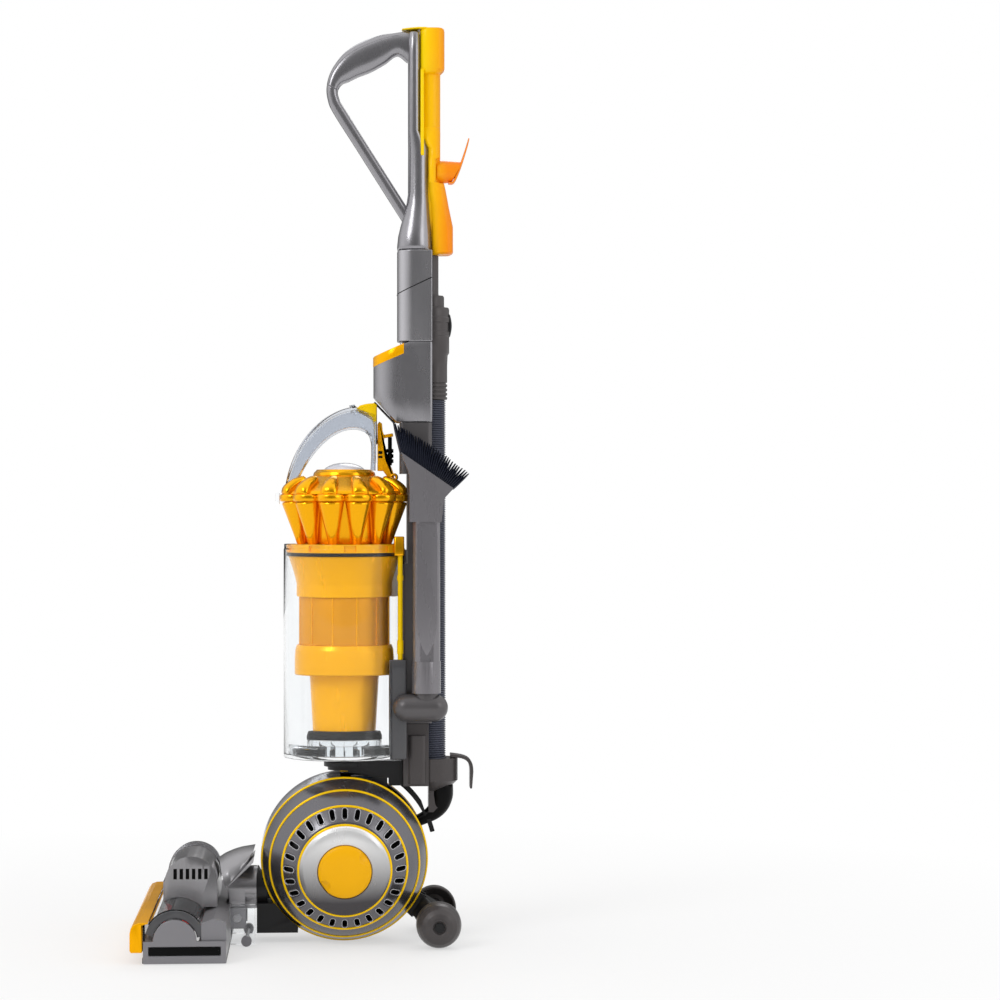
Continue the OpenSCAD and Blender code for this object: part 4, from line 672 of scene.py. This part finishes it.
# Each cone leans out from footR to topR. The rim's radius is R cos p + sqrt(r^2 - (R sin p)^2), p being the
# angle from the nearest lobe
def cyclonePieces():
    c, mid, lean = cyclones, dustBin["y"], cyclones["topR"] - cyclones["footR"]
    turns = math.radians(c["first"]) + around(c["count"])
    cone = smoothPath(c["cone"], 26)
    cones = [revolved(cone, (c["footR"] * math.cos(t), mid + c["footR"] * math.sin(t), c["low"]),
                      (lean * math.cos(t), lean * math.sin(t), c["height"]), 36) for t in turns]
    putGrids("cyclones", cones, "amber", "bin_group")
    turnedPiece("cycloneCore", [[(44, 463), (46, 463), (47, 466), (52, 500), (56, 513.4), (40, 513.4), (38, 470)]],
        "amber", radius=0.4)
    turn = around(576)
    p = turn % (2 * math.pi / c["count"]) - math.pi / c["count"]
    layers = []
    for ring, lobe, z in c["rim"]:
        r = ring * np.cos(p) + np.sqrt(np.maximum(lobe ** 2 - (ring * np.sin(p)) ** 2,
            0.04)) if lobe else np.full_like(turn, ring)
        layers.append(np.stack([r * np.cos(turn), mid + r * np.sin(turn), np.full_like(turn, z)], -1))
    putGrids("cycloneRim", [np.array(layers)], "amber", "bin_group", ["cyclone_cones"], angle=50)
    ducts = []
    spine = smoothPath(c["duct"], 18)
    k = np.linspace(0, 1, 18)
    wide, thick = (np.interp(k, (0, 0.2, 0.6, 1), w) for w in ((9.6, 9.8, 7.4, 5.0), (4.5, 6.8, 6.2, 3.6)))
    for t in turns:
        path = np.stack([spine[:, 0] * math.cos(t), mid + spine[:, 0] * math.sin(t), spine[:, 1]], -1)
        ducts.append(bar(path, (-math.sin(t), math.cos(t), 0), wide, thick, 2.2, 24, endRound=3))
    putGrids("crownDucts", ducts, "amber", "bin_group", ["cyclone_crown"])
    turnedPiece("crownCone", [[(24, 520), (70, 521), (67, 525), (55, 532.5), (40, 540.2), (36.6, 542.5), (34, 544),
        (24, 545)],
                              [(24.6, 541), (36, 541), (36.4, 543.4), (35.6, 546.5), (33.4, 548.4), (32.2, 550),
                              (24.6, 550)]], "amber", radius=0.9)
    lug = tower([(z, *c["lug"]) for z in (449.8, 452, 472)], 1)
    putGrids("rodLug", [lug], "amber", "bin_group")
    dome = revolved([(0.3, 558), (6, 557.7), (12, 556.6), (17.5, 554.6), (21.6, 552.2), (24.2, 549.6), (24.6, 547),
        (24.6, 544), (0.3, 544)], (0, mid, 0))
    putGrids("dome", [dome], "domeClear", "bin_group")


binPieces()
cyclonePieces()
print("bin and cyclones done")

# Grip loop: outer and inner side outlines as (y, z), from the cap round the front and down the strut
grip = {"half": 12, "square": 2.8, "seam": (23.2, 1000), "line": 0.66, "outer": ((130, 1065.6), (119, 1065.2),
    (104, 1062.6), (87, 1059.6), (70, 1053.6), (54, 1045.6), (40, 1034), (28, 1016), (23.2, 999), (24.4, 984),
    (31, 968), (58.9, 924.2), (86.7, 880.4), (114.6, 836.6)), "inner": ((130, 1028), (119, 1027), (106, 1035),
    (91, 1025), (75, 1016), (60, 1010), (50, 1005), (41, 1001), (36.5, 993), (38.6, 983), (43.2, 975), (70.5, 931.6),
    (98.3, 887.8), (126.2, 844)), "back": ((806.8, 29, 106, 146, 19), (812, 29, 106, 146, 19),
    (824, 28.2, 107.2, 145.6, 18.5), (836, 25.8, 110, 145, 17), (848, 23, 113.5, 144, 14.5),
    (862, 20.6, 117, 143, 12), (874, 19.5, 118.8, 142, 10.5), (925, 19.5, 119, 142, 10.5), (936, 19.5, 119, 138, 8.5),
    (946, 19.5, 119, 132.2, 6), (1040, 19.5, 119, 132, 6), (1062, 19.5, 119.6, 132, 6)),
    "tongue": ((550.4, 13.6, 109.6, 118.4, 2), (552, 13.6, 109.6, 118.4, 2), (812, 13.6, 109.6, 118.4, 2))}


# Section: middle + half cos^(2/n) x + sin^(2/n) (outer - inner) / 2, with a groove round the seam and one along
# the upper part
def gripPieces():
    dense = np.linspace(0, 1, 1200)
    curve = {k: smoothPath(grip[k], 1200) for k in ("outer", "inner")}
    seam = dense[np.argmin(np.hypot(*(curve["outer"] - grip["seam"]).T))]
    s = np.unique(np.r_[np.linspace(0, 1, 120), seam + np.linspace(-0.006, 0.006, 9)])
    outer, inner = (np.stack([np.interp(s, dense, curve[k][:, i]) for i in (0, 1)], -1) for k in ("outer", "inner"))
    middle, reach = (outer + inner) / 2, (outer - inner) / 2
    groove = 1 - 0.07 * np.exp(-((s - seam) / 0.0022) ** 2)
    line = math.asin(grip["line"] ** (grip["square"] / 2))
    t = np.sort(np.r_[around(40), *(side + np.array((-0.05, -0.02, 0, 0.02, 0.05)) for side in (line, math.pi - line))])
    cx, cy = (signed(w, 2 / grip["square"]) for w in (np.cos(t), np.sin(t)))
    dip = np.exp(-((cy - grip["line"]) / 0.022) ** 2)[None] * (s < seam)[:, None] * np.clip(s * 25 - 0.6, 0, 1)[:,
        None] * 0.045
    x = grip["half"] * groove[:, None] * cx * (1 - dip)
    yz = middle[:, None] + (groove[:, None] * cy)[..., None] * reach[:, None]
    putGrids("gripLoop", [np.concatenate([x[..., None], yz], -1)], "handleGrey", "wand", ["handle_grip"],
        angle=30)
    # pale pointed oval let into the grip's front: its half width is 7.4 sin(pi q)^0.8
    rows = (outer[:, 1] > 1019) & (outer[:, 0] < 100)
    q = np.linspace(0, 1, rows.sum())
    u = np.linspace(-1, 1, 15)
    wide = 7.4 * np.sin(math.pi * np.clip(q, 0.004, 0.996)) ** 0.8
    c = wide[:, None] * u / grip["half"]
    lift = (1 - np.abs(c) ** grip["square"]) ** (1 / grip["square"])
    proud = np.where(np.abs(u) > 0.99, -0.5, 0.35)
    way = reach[rows] / np.linalg.norm(reach[rows], axis=1)[:, None]
    inlay = middle[rows][:, None] + lift[..., None] * reach[rows][:, None] + proud[None, :, None] * way[:, None]
    under = middle[rows][:, None] + (lift - 0.1)[..., None] * reach[rows][:, None]
    top, low = (np.concatenate([(grip["half"] * c)[..., None], yz], -1) for yz in (inlay, under))
    putGrids("gripInlay", [np.concatenate([top, low[:, ::-1]], 1)], "inlayGrey", "wand")
    putGrids("gripBack", [tower(grip["back"], 2.5)], "handleGrey", "wand")
    putGrids("slideTongue", [tower(grip["tongue"], 1)], "metal", "wand")


# Cap block, its lip over the grip, tube, backing plate and lower cover
wandCap = {"block": ((1013.4, 15, 132.6, 157, 8), (1015, 16, 132.6, 157.4, 8), (1019, 19.6, 132.6, 161, 9),
    (1062, 19.6, 132.6, 161, 9), (1067.2, 19.4, 132.6, 160.6, 9)), "lip": ((-19, 140), (-19, 130), (-13, 120),
    (-5, 111.4), (5, 111.4), (13, 120), (19, 130), (19, 140)), "tube": ((0.3, 801.4), (9, 801.4), (9.5, 830),
    (11.5, 840), (11.5, 1015), (0.3, 1015)), "plate": ((917, 20.2, 132.6, 137, 2), (921, 20.2, 132.6, 137, 2),
    (1018, 20.2, 132.6, 137, 2)), "cover": ((801.8, 16, 146.4, 168, 7), (804, 18, 146.4, 171, 8),
    (834, 18, 146.2, 171, 9), (858, 18, 145.4, 166, 9), (876, 18.4, 143.2, 162.6, 8), (884.5, 19, 142.5, 160.6, 8),
    (886, 19, 142.5, 151, 4), (913, 19.2, 142.5, 151, 4), (915, 18.4, 142.5, 156, 6), (926, 17.4, 142, 156, 7),
    (933, 16, 136.5, 156.2, 8), (944, 13, 133, 156.4, 8), (952, 11.4, 133, 156.4, 9))}
upperHook = {"at": (0, 0, 899.4), "base": ((0.3, 151.5), (12.2, 151.5), (13.4, 152.6), (13.4, 158), (13, 164),
    (12.6, 170), (12, 176.2), (0.3, 177)), "lean": (158, 0.03), "leaf": ((166, 886.5), (171.6, 887.4), (176.4, 897),
    (180.6, 908), (184.6, 920), (188, 931), (190.2, 939.6)), "half": (8.5, 10.5, 11, 10.6, 9.4, 7, 2.6),
    "thick": (1.1, 1.4, 1.5, 1.4, 1.2, 1.0, 0.7)}


# The leaf's width and thickness run between the values given along its centre line; the hook's stub leans to
# it: y + lean (z - axis) past its start
def capPieces():
    c, h = wandCap, upperHook
    grids = [tower(c["block"], 3.4), plate(c["lip"], 1065.5, 1067.2, "z", 0.7), tower(c["plate"], 1),
        tower(c["cover"], 2), revolved(rounded(c["tube"], 1), (0, hose["y"], 0), steps=64)]
    # the cap and the hook carry painted shade: yellow turning orange towards the back
    putGrids("wandCap", grids, "capYellowPaintedShade", "wand", ["wand_cap"], angle=44)
    path = smoothPath(h["leaf"], 26)
    k, at = np.linspace(0, 1, 26), np.linspace(0, 1, 7)
    leaf = bar(np.c_[np.zeros(26), path], (1, 0, 0), np.interp(k, at, h["half"]), np.interp(k, at, h["thick"]), 3, 28,
        endRound=0.6)
    stub = revolved(rounded(h["base"], 0.5), h["at"], (0, 1, 0), 64)
    stub[..., 1] += np.maximum(stub[..., 1] - h["lean"][0], 0) * (stub[..., 2] - h["at"][2]) * h["lean"][1]
    putGrids("upperHook", [stub, leaf], "capYellowPaintedShade", "cord_hook", ["upper_hook"])


# Dark joint round the front of the handle tube, sloping up to the back
tubeSeam = {"low": 756, "from": 107.6, "slope": 0.4735}
# Duct housing: round front, channel for the hose behind, pocket open at the top. rim and foot give z = level +
# slope (y - front), then a flat stop
housing = {"front": 78, "tube": 106, "back": 146, "half": 29, "channel": (145, 23.6), "rim": (681.7, 0.4286, 699.2),
    "foot": (633, -1.037, 605.2), "wall": 3, "pocket": (104.5, 652), "lipDeep": 11.5, "lipTo": 113,
    "shadeStrip": ((79, 629), (90, 617.6), (103, 604.2))}


# Front outline: half ellipse from one side to the other, x = half cos t, y = tube - (tube - front) sin t
def housingFront(turns, start=0, stop=math.pi):
    h = housing
    t = np.linspace(start, stop, turns)
    return np.c_[h["half"] * np.cos(t), h["tube"] - (h["tube"] - h["front"]) * np.sin(t)]


def tubePieces():
    z, y, slope = (tubeSeam[k] for k in ("low", "from", "slope"))
    t = np.linspace(0, math.pi / 2, 12)
    rim = np.r_[[(-29, 145.6), (-29, 135)], np.c_[-10 - 19 * np.cos(t), 125 - 19 * np.sin(t)],
        np.c_[10 + 19 * np.sin(t), 125 - 19 * np.cos(t)], [(29, 135), (29, 145.6)]]
    loop = np.vstack([rim, (rim * 0.93 + (0, 9.6))[::-1]])
    putGrids("tubeSeam", [loopTube(np.c_[loop, z + (loop[:, 1] - y) * slope], 0.55, 8)], "black", "upright",
        closed=True)


# Outer wall from the slanting foot to the slanting rim, then over the rim and down into the pocket, whose
# points stop at the pocket's back
def housingPiece():
    h = housing
    y, r = h["channel"]
    t = np.linspace(math.pi, 2 * math.pi, 25)
    outline = np.vstack([housingFront(49), [(-h["half"], 120), (-h["half"], 134), (-h["half"], h["back"] - 2),
        (-h["half"] + 2, h["back"])],
                         np.c_[r * np.cos(t), y + r * np.sin(t)], [(h["half"] - 2, h["back"]),
                         (h["half"], h["back"] - 2), (h["half"], 134), (h["half"], 120)]])

    def level(points, rule):
        line = rule[0] + rule[1] * (points[:, 1] - h["front"])
        return np.minimum(line, rule[2]) if rule[1] > 0 else np.maximum(line, rule[2])

    middle = np.array([0, h["tube"] + 2])
    shrunk = lambda mm: outline + (middle - outline) / np.linalg.norm(outline - middle, axis=1)[:, None] * mm
    foot, rim = level(outline, h["foot"]), level(outline, h["rim"])
    rows = [np.c_[shrunk(1.4), foot], np.c_[shrunk(0.4), foot + 0.5], np.c_[outline, foot + 1.6]]
    rows += [np.c_[outline, foot + (rim - foot) * k] for k in (0.3, 0.6, 0.9)]
    rows += [np.c_[outline, rim - 1.2], np.c_[shrunk(0.4), rim - 0.3], np.c_[shrunk(1.2), rim]]
    inner = shrunk(h["wall"])
    inner[:, 1] = np.minimum(inner[:, 1], h["pocket"][0])
    inner[:, 0] = np.clip(inner[:, 0], -h["half"] + h["wall"], h["half"] - h["wall"])
    low = level(inner, h["rim"])
    rows += [np.c_[inner, low], np.c_[inner, low - 1], np.c_[inner, np.full(len(inner), h["pocket"][1])]]
    putGrids("ductHousing", [np.array(rows)], "handleGrey", "upright", ["duct_housing"], angle=42)
    # painted shade: a black strip along the housing's slanting underside stands for the shade beneath it
    shadeStrip = smoothPath(h["shadeStrip"], 9)
    putGrids("housingShadeStrip", [bar(np.c_[np.zeros(9), shadeStrip], (1, 0, 0), 9, 1.1, 4, 20, endRound=0.8)], "black",
        "upright")


# Lip on the rim's right half, and fluted lining on the pocket's back: y = back - 0.9 |sin(pi x / 7)|
def mouthPieces():
    h = housing
    path = np.vstack([housingFront(30, math.pi / 2, 0), [(h["half"], 109), (h["half"], h["lipTo"])]])
    way = np.gradient(path, axis=0)
    way /= np.linalg.norm(way, axis=1)[:, None]
    out = np.stack([way[:, 1], -way[:, 0]], -1)
    top = h["rim"][0] + h["rim"][1] * (path[:, 1] - h["front"])
    deep = h["lipDeep"]
    section = ((0.25, -deep), (0.35, 0.6 - deep), (0.35, -0.9), (-0.4, 0.35), (-2.4, 0.35), (-3.3, -0.4), (-3.3, -26),
        (-1.4, -deep))
    lips = [np.stack([np.c_[path + out * a, top + b] for a, b in section], 1)]
    x = np.linspace(0.2, 25.4, 43)
    flutes = h["pocket"][0] - 0.3 - 0.9 * np.abs(np.sin(math.pi * x / 7))
    flat = np.vstack([np.c_[x, flutes], np.c_[x[::-1], np.full(43, h["pocket"][0] + 0.4)]])
    lips.append(np.stack([np.c_[flat, np.full(len(flat), z)] for z in (654, 670, 692.6)]))
    putGrids("mouthLip", lips, "orange", "upright", ["mouth_band"])


gripPieces()
capPieces()
# Power button: a low dome over a dark disc, placed by the solid's own box
button = {"dome": ((0.2, -1.1), (0.5, -1.05), (0.8, -0.8), (0.97, -0.2), (0.985, 0.4), (0.985, 4), (0.2, 4)),
    "recess": ((0.1, -0.12), (1.03, -0.12), (1.06, 0.2), (0.1, 0.2))}


def buttonPiece():
    corners = np.array(nodes["power_button"].bound_box) * 1000
    low, high = corners.min(0), corners.max(0)
    radius, at = (high[1] - low[1]) / 2, (low[0], *((low + high) / 2)[1:])
    dome, recess = (revolved(np.array(button[p]) * (radius, 1), at, (1, 0, 0), 56) for p in ("dome", "recess"))
    putGrids("buttonCap", [dome], "red", "button", ["power_button"])
    putGrids("buttonRecess", [recess], "black", "upright")


tubePieces()
housingPiece()
mouthPieces()
buttonPiece()
print("handle done")

# Clear arch over the cyclones: outer and inner outlines as cubic curves through (y, z) control points
arch = {"half": 15, "square": 5.5, "outer": ((-26, 524), (-20, 577), (14, 619), (57, 624)), "inner": ((-7.6, 542),
    (24, 605), (64, 604), (74, 588)), "foot": ((-26, 521.4), (-7, 521.4)), "leg": (((80.4, 616), (75.4, 580)),
    ((80.6, 580), (75.6, 566)), ((80.6, 549), (74.6, 549))), "collar": 0.93, "tab": (-36.6, -31.9, 521, 13),
    "wings": (78.3, 80.9, 0.8)}
trigger = ((57.6, 620.4), (62, 625), (70, 627), (79, 627.8), (82, 625.4), (82.2, 579.4), (81.4, 579.4), (80.4, 600),
    (77, 609), (70, 616), (62, 619))
latch = {"bar": ((82.8, 548.4), (82.8, 603), (84.6, 606.4), (88, 604), (88.8, 595), (90.6, 590), (90.6, 573),
    (92.4, 562), (98, 555), (101, 547), (103.6, 534.6), (98, 533), (95, 541), (89.4, 548.4)), "bellows": ((0.3, 555),
    (2.4, 555), (2.4, 557.6), (4.2, 558), (4.2, 562), (2.6, 562.4), (2.6, 563.6), (4.2, 564), (4.2, 568),
    (2.6, 568.4), (2.6, 569.6), (4.2, 570), (4.2, 574), (2.4, 574.6), (2.4, 588), (0.3, 588))}


# Cubic curve: (1-t)^3 a + 3t(1-t)^2 b + 3t^2(1-t) c + t^3 d, at the same t on both outlines
def archPieces():
    t = np.linspace(0, 1, 44)[:, None]
    outer, inner = (sum(w * np.array(q) for w, q in zip(((1 - t) ** 3, 3 * t * (1 - t) ** 2, 3 * t * t * (1 - t),
        t ** 3), arch[k])) for k in ("outer", "inner"))
    outer = np.vstack([arch["foot"][0], outer, [p for p, _ in arch["leg"]]])
    inner = np.vstack([arch["foot"][1], inner, [q for _, q in arch["leg"]]])
    turn = around(44)
    cx, cy = (signed(w, 2 / arch["square"]) for w in (np.cos(turn), np.sin(turn)))

    def section(a, b, grow):
        middle, reach = (a + b) / 2, (a - b) / 2 * (1 + grow / 9)
        x = np.broadcast_to((arch["half"] + grow) * cx, (len(a), len(turn)))
        return np.concatenate([x[..., None], middle[:, None] + cy[None, :, None] * reach[:, None]], -1)

    # hollow tube: an outer skin and an inner one turned the other way, joined at both ends
    skin, core = section(outer, inner, 0), section(outer, inner, -2.4)
    k = round(arch["collar"] * 45)
    collar = section(outer[k:k + 3], inner[k:k + 3], 1.1)
    y0, y1, z, r = arch["tab"]
    a = np.linspace(math.pi, 2 * math.pi, 20)
    tab = plate(np.vstack([np.c_[r * np.cos(a), z + r * np.sin(a)], [(r, z + 1.6), (-r, z + 1.6)]]), y0, y1, "y", 0.8)
    putGrids("archTube", [np.concatenate([skin, core[::-1]])], "archClear", "bin_group", ["carry_arch"],
        closed=True, angle=60)
    putGrids("archCollar", [collar, tab], "clear", "bin_group")
    wings = [tower([(z, x0 + a * (z > 600), x1 + b * (z > 600), *arch["wings"]) for z in (557.4, 559, 598, 606.6)], 0.5)
             for x0, x1, a, b in ((15.4, 25.8, 0, -7), (-25.8, -15.4, 7, 0))]
    putGrids("archWings", wings, "clear", "bin_group")
    putGrids("releaseTrigger", [plate(rounded(trigger, 1.2, 3), -12.8, 12.8, "x", 1.2)], "yellow", "trigger",
        ["release_trigger"])
    putGrids("latchBar", [plate(rounded(latch["bar"], 0.8, 3), -7.6, 7.6, "x", 0.8),
                          bar([(0, y, 588.6 + (y - 89) * 0.18) for y in np.linspace(88.6, 101, 8)], (1, 0, 0), 5.6,
                          2.1, 4, 24, endRound=1)],
             "orange", "bin_group")
    ring = revolved([(3.2 + 1.7 * math.cos(w), 1.7 * math.sin(w)) for w in around(14)], (8.4, 102, 541), (1, 0, 0), 32)
    putGrids("latchRing", [ring], "amber", "bin_group", closed=True)
    seats = [revolved(latch["bellows"], (0, 97.4, 0), steps=32)]
    seats += [tower([(z + k, 8, 83.4, 88.6, 0.8) for k in (0, 0.6, high)], 0.5) for z,
        high in ((563.5, 2.6), (568.2, 3.6))]
    putGrids("latchSeats", seats, "black", "bin_group")


archPieces()
print("arch and latch done")

# Combination tool: bristle slats between the head's edge and their tips, given as (y, z), and a raised face on its neck
tool = {"x": 49, "slats": 34, "edge": ((109, 569), (169, 527.6)), "tips": ((100, 605.4), (141, 581), (188.6, 545.4)),
    "face": ((126.5, 487), (150.5, 487), (151.4, 470), (151.4, 372), (149, 356), (143.6, 342), (138.6, 333.4),
    (133.6, 342), (128.4, 356), (126, 372), (126, 470))}


# Slat k runs from the edge to the tips at the same share k, its sides waving by sin 7k and sin 11k
def toolPieces():
    k = np.linspace(0, 1, tool["slats"])
    foot = np.stack([np.interp(k, (0, 1), [p[i] for p in tool["edge"]]) for i in (0, 1)], -1)
    tips = np.stack([np.interp(k, (0, 0.47, 1), [p[i] for p in tool["tips"]]) for i in (0, 1)], -1)
    tips -= ((tips - foot) * (0.02 + 0.03 * np.sin(k * 190) ** 2)[:, None])
    slats = []
    for i, (a, b) in enumerate(zip(foot, tips)):
        sway = (0.9 * math.sin(7 * i), 0.6 * math.sin(11 * i))
        rows = [(tool["x"] + sway[0] * q - 0.4, *(a + (b - a) * q + (sway[1] * q * q, 0))) for q in (0, 0.35, 0.7, 1)]
        slats.append(bar(rows, (1, 0, 0), (14.2, 14.8, 15.0, 14.2), (1.5, 1.45, 1.2, 0.5), 4, 12))
    putGrids("toolBristles", slats, "bristle", "tool_right")
    putGrids("toolFace", [plate(rounded(tool["face"], 2, 3), tool["x"] + 14, tool["x"] + 15.9, "x", 1)], "toolGrey",
        "tool_right")


# Elbow from the hose cup in between the half balls, its section narrowing along (y, z)
elbow = {"path": ((158, 181), (158, 168), (155, 157), (149, 148.6), (139, 142), (128, 137)),
    "half": (17, 16.6, 14, 11, 9.4, 9), "thick": (13.5, 13.5, 12, 9.6, 7.4, 6.6)}


def elbowPiece():
    path = smoothPath(elbow["path"], 24)
    k, at = np.linspace(0, 1, 24), np.linspace(0, 1, 6)
    tube = bar(np.c_[np.zeros(24), path], (1, 0, 0), np.interp(k, at, elbow["half"]), np.interp(k, at, elbow["thick"]),
        2.4, 36, endRound=2)
    putGrids("ductElbow", [tube], "black", "upright")


toolPieces()
elbowPiece()

# Boxy mouldings take the solids' own shapes with rounded edges
roundedEdges = {1.6: ("rear_duct", "valve_housing", "cradle", "stand_frame", "head_body", "motor_housing"),
                1.2: ("handle_tube", "hose_cup", "yoke", "stair_tool", "lower_hook"), 3: ("tool_holder",),
                0.8: ("ball_duct", "end_caps", "sole_plate", "brush_window")}
for width, names in roundedEdges.items():
    for name in names:
        softened(name, width)
softened("neck_joint", 3, cut=((0, -93.4, 65.4), (0, -0.739, 0.674)))
softened("combination_tool", 1.2, cut=((0, 108.5, 569.7), (0, 0.567, 0.8237)))
print("mouldings done")

# Head trims: bumper with a lip over the window's edge, smoky window ends, black plates as painted shade in the
# slots of the end caps, a black screen as painted shade behind the vents, neck cowl
bumper = {"side": ((-194.8, 15), (-193.4, 12.6), (-181, 12.6), (-181, 43.2), (-174.6, 44.4), (-174.6, 46),
    (-185, 45.6), (-190.4, 43.6), (-193.6, 39.6), (-194.8, 34)), "half": 174.8}
windowEnd = {"at": (-145, 25), "inner": 24.6, "outer": 33.4, "from": 8, "to": 168, "x": 168.2, "half": 0.9}
sideSlotShade = {"box": (-173.6, -94.4, 9.6, 18.4, 1.4, 3), "x": 174.0, "half": 0.8}
ventShadeScreen = {"box": (-155, -108, 76, 97, 3, 4), "from": 71.8, "to": 72.8}
cowl = {"top": ((-101.6, 97.4), (-93, 102.6), (-78, 108.2), (-60, 111.2)), "foot": ((-94, 66.6), (-87, 71), (-76, 82),
    (-62.4, 104)), "half": (44.4, 43, 37, 24), "thick": 0.9}
podFins = {"at": (-131.5, 77), "radius": 30.95, "x": (-52, -41, -29), "half": 1.25, "thick": 0.45}


# One plate on each side of the machine, from x - half to x + half
def bothSides(outline, x, half, edge):
    return [plate(outline, side * x - half, side * x + half, "x", edge) for side in (-1, 1)]


# Cowl: at share k a half ellipse from foot to top, x = half cos a, (y, z) = foot + (top - foot) sin a
def headTrims():
    putGrids("bumperBar", [plate(rounded(bumper["side"], 0.9, 3), -bumper["half"], bumper["half"], "x", 0.9)],
        "orange", "head", ["bumper"])
    w = windowEnd
    t = np.radians(np.linspace(w["from"], w["to"], 40))
    arc = np.c_[np.cos(t), np.sin(t)]
    ring = np.vstack([arc * w["outer"], (arc * w["inner"])[::-1]]) + w["at"]
    putGrids("windowEnds", bothSides(ring, w["x"], w["half"], 0.3), "smoke", "head")
    slot, vent = sideSlotShade, ventShadeScreen
    # painted shade: black plates on the end caps stand for the shade inside the slots
    putGrids("sideSlotShades", bothSides(roundRect(*slot["box"]), slot["x"], slot["half"], 0.4), "black", "head")
    # painted shade: a black screen behind the vents stands for the shade inside them
    screen = plate(roundRect(*vent["box"]), vent["from"], vent["to"], "x", 0.3)
    putGrids("ventShadeScreen", [screen], "black", "head")
    k, t = np.linspace(0, 1, 30), np.radians(np.linspace(0, 180, 49))
    top, foot = (smoothPath(cowl[p], 30)[:, None] for p in ("top", "foot"))
    half = np.interp(k, np.linspace(0, 1, 4), cowl["half"])[:, None]
    skins = [np.dstack([half * m * np.cos(t), foot + (top - foot) * m * np.sin(t)[:, None]])
        for m in (1, cowl["thick"])]
    grid = np.concatenate([skins[0], skins[1][:, ::-1]], 1)
    f = podFins
    arc = np.radians(np.linspace(12, 176, 60))
    y, z = f["at"][0] - f["radius"] * np.cos(arc), f["at"][1] + f["radius"] * np.sin(arc)
    fins = [bar(np.c_[np.full(60, x), y, z], (1, 0, 0), f["half"], f["thick"], 3, 12) for x in f["x"]]
    putGrids("podFins", fins, "lipGrey", "head")
    putGrids("neckCowl", [grid], "housingGrey", "neck", angle=50)


headTrims()
print("head done")

# Camera, floor, lamps and world
studio = {"cameraAt": (3.374, 0.0225, 0.5144), "lens": 103.428, "aside": math.degrees(math.atan(174 / 2873)),
    "world": 0.74, "fadeFrom": 0.3, "fadeOver": 0.9, "whiteNear": 0.55, "gap": 0.11, "bright": 1.2,
    "lamps": {"key": ((2.6, -2.2, 2.6), 1.6, 36), "fill": ((2.2, 2.6, 1.6), 1.8, 13),
    "back": ((-2.4, 0.6, 2.4), 1.6, 12)}}


# 1 for a ray of one of these kinds
def whiteRays(t, kinds=("Is Camera Ray", "Is Glossy Ray", "Is Transmission Ray")):
    path = t.make("LightPath")
    first, *others = path.outputs(*kinds)
    for other in others:
        first = first.math("MAXIMUM", other)
    return first


def makeStudio(s):
    lens = bpy.data.cameras.new("camera")
    lens.sensor_width, lens.lens, lens.clip_end = 36, s["lens"], 60
    camera = linked("camera", lens)
    camera.location, camera.rotation_euler = s["cameraAt"], (math.radians(90), 0, math.radians(90 - s["aside"]))
    bpy.context.scene.camera = camera
    mesh = bpy.data.meshes.new("floor")
    mesh.from_pydata([(-9, -9, -0.0005), (6, -9, -0.0005), (6, 9, -0.0005), (-9, 9, -0.0005)], [], [(0, 1, 2, 3)])
    floor = linked("floor", mesh)
    t = Tree(bpy.data.materials.new("floor"))
    at = t.make("TexCoord", out="Object")
    far = t.make("VectorMath", {0: at}, "Value", operation="LENGTH")
    plain = t.make("BsdfPrincipled", {"Base Color": t.mix(t.noise(3, 2), (.95, .95, .95, 1), (.97, .97, .97, 1)),
        "Roughness": 0.7, "Specular IOR Level": 0.15}, "BSDF")
    white = t.make("Emission", {"Strength": 1.0})
    seen = whiteRays(t)
    fade = ((far - s["fadeFrom"]) * (1 / s["fadeOver"])).math("MAXIMUM", 0).math("MINIMUM", 1)
    t.end(t.make("MixShader", {0: seen * (fade * (1 - s["whiteNear"]) + s["whiteNear"]), 1: plain, 2: white}))
    mesh.materials.append(t.owner)
    for name, (at, size, power) in s["lamps"].items():
        lamp = bpy.data.lights.new(name, "AREA")
        lamp.energy, lamp.size, lamp.shape = power, size, "DISK"
        holder = linked(name, lamp)
        holder.location = at
        holder.rotation_euler = (Vector((0, 0, 0.5)) - Vector(at)).to_track_quat("-Z", "Y").to_euler()
    world = bpy.data.worlds.new("world")
    bpy.context.scene.world = world
    t = Tree(world, "ShaderNodeOutputWorld")
    # soft panels: glossy rays see white before and behind and dark at the two sides, strength = gap + (bright -
    # gap) ((0.5 - 0.5 cos 2a)^1.4 + z^2)
    parts = t.make("SeparateXYZ", {"Vector": t.make("TexCoord", out="Generated")})
    x, y, z = parts.outputs(0, 1, 2)
    panels = ((y.math("ARCTAN2", x) * 2).math("COSINE", 0) * -0.5 + 0.5) ** 1.4
    high = z.math("ABSOLUTE", 0) ** 2
    strength = (panels + high).math("MINIMUM", 1) * (s["bright"] - s["gap"]) + s["gap"]
    lit, soft, plain = (t.make("Background", {"Color": (1, 1, 1, 1), "Strength": k})
        for k in (s["world"], strength, 1.0))
    reflected = t.make("MixShader", {0: whiteRays(t, ("Is Glossy Ray",)), 1: lit, 2: soft})
    t.end(t.make("MixShader", {0: whiteRays(t, ("Is Camera Ray", "Is Transmission Ray")), 1: reflected, 2: plain}))


makeStudio(studio)
bpy.context.scene.view_settings.view_transform = "Standard"
print("studio done")
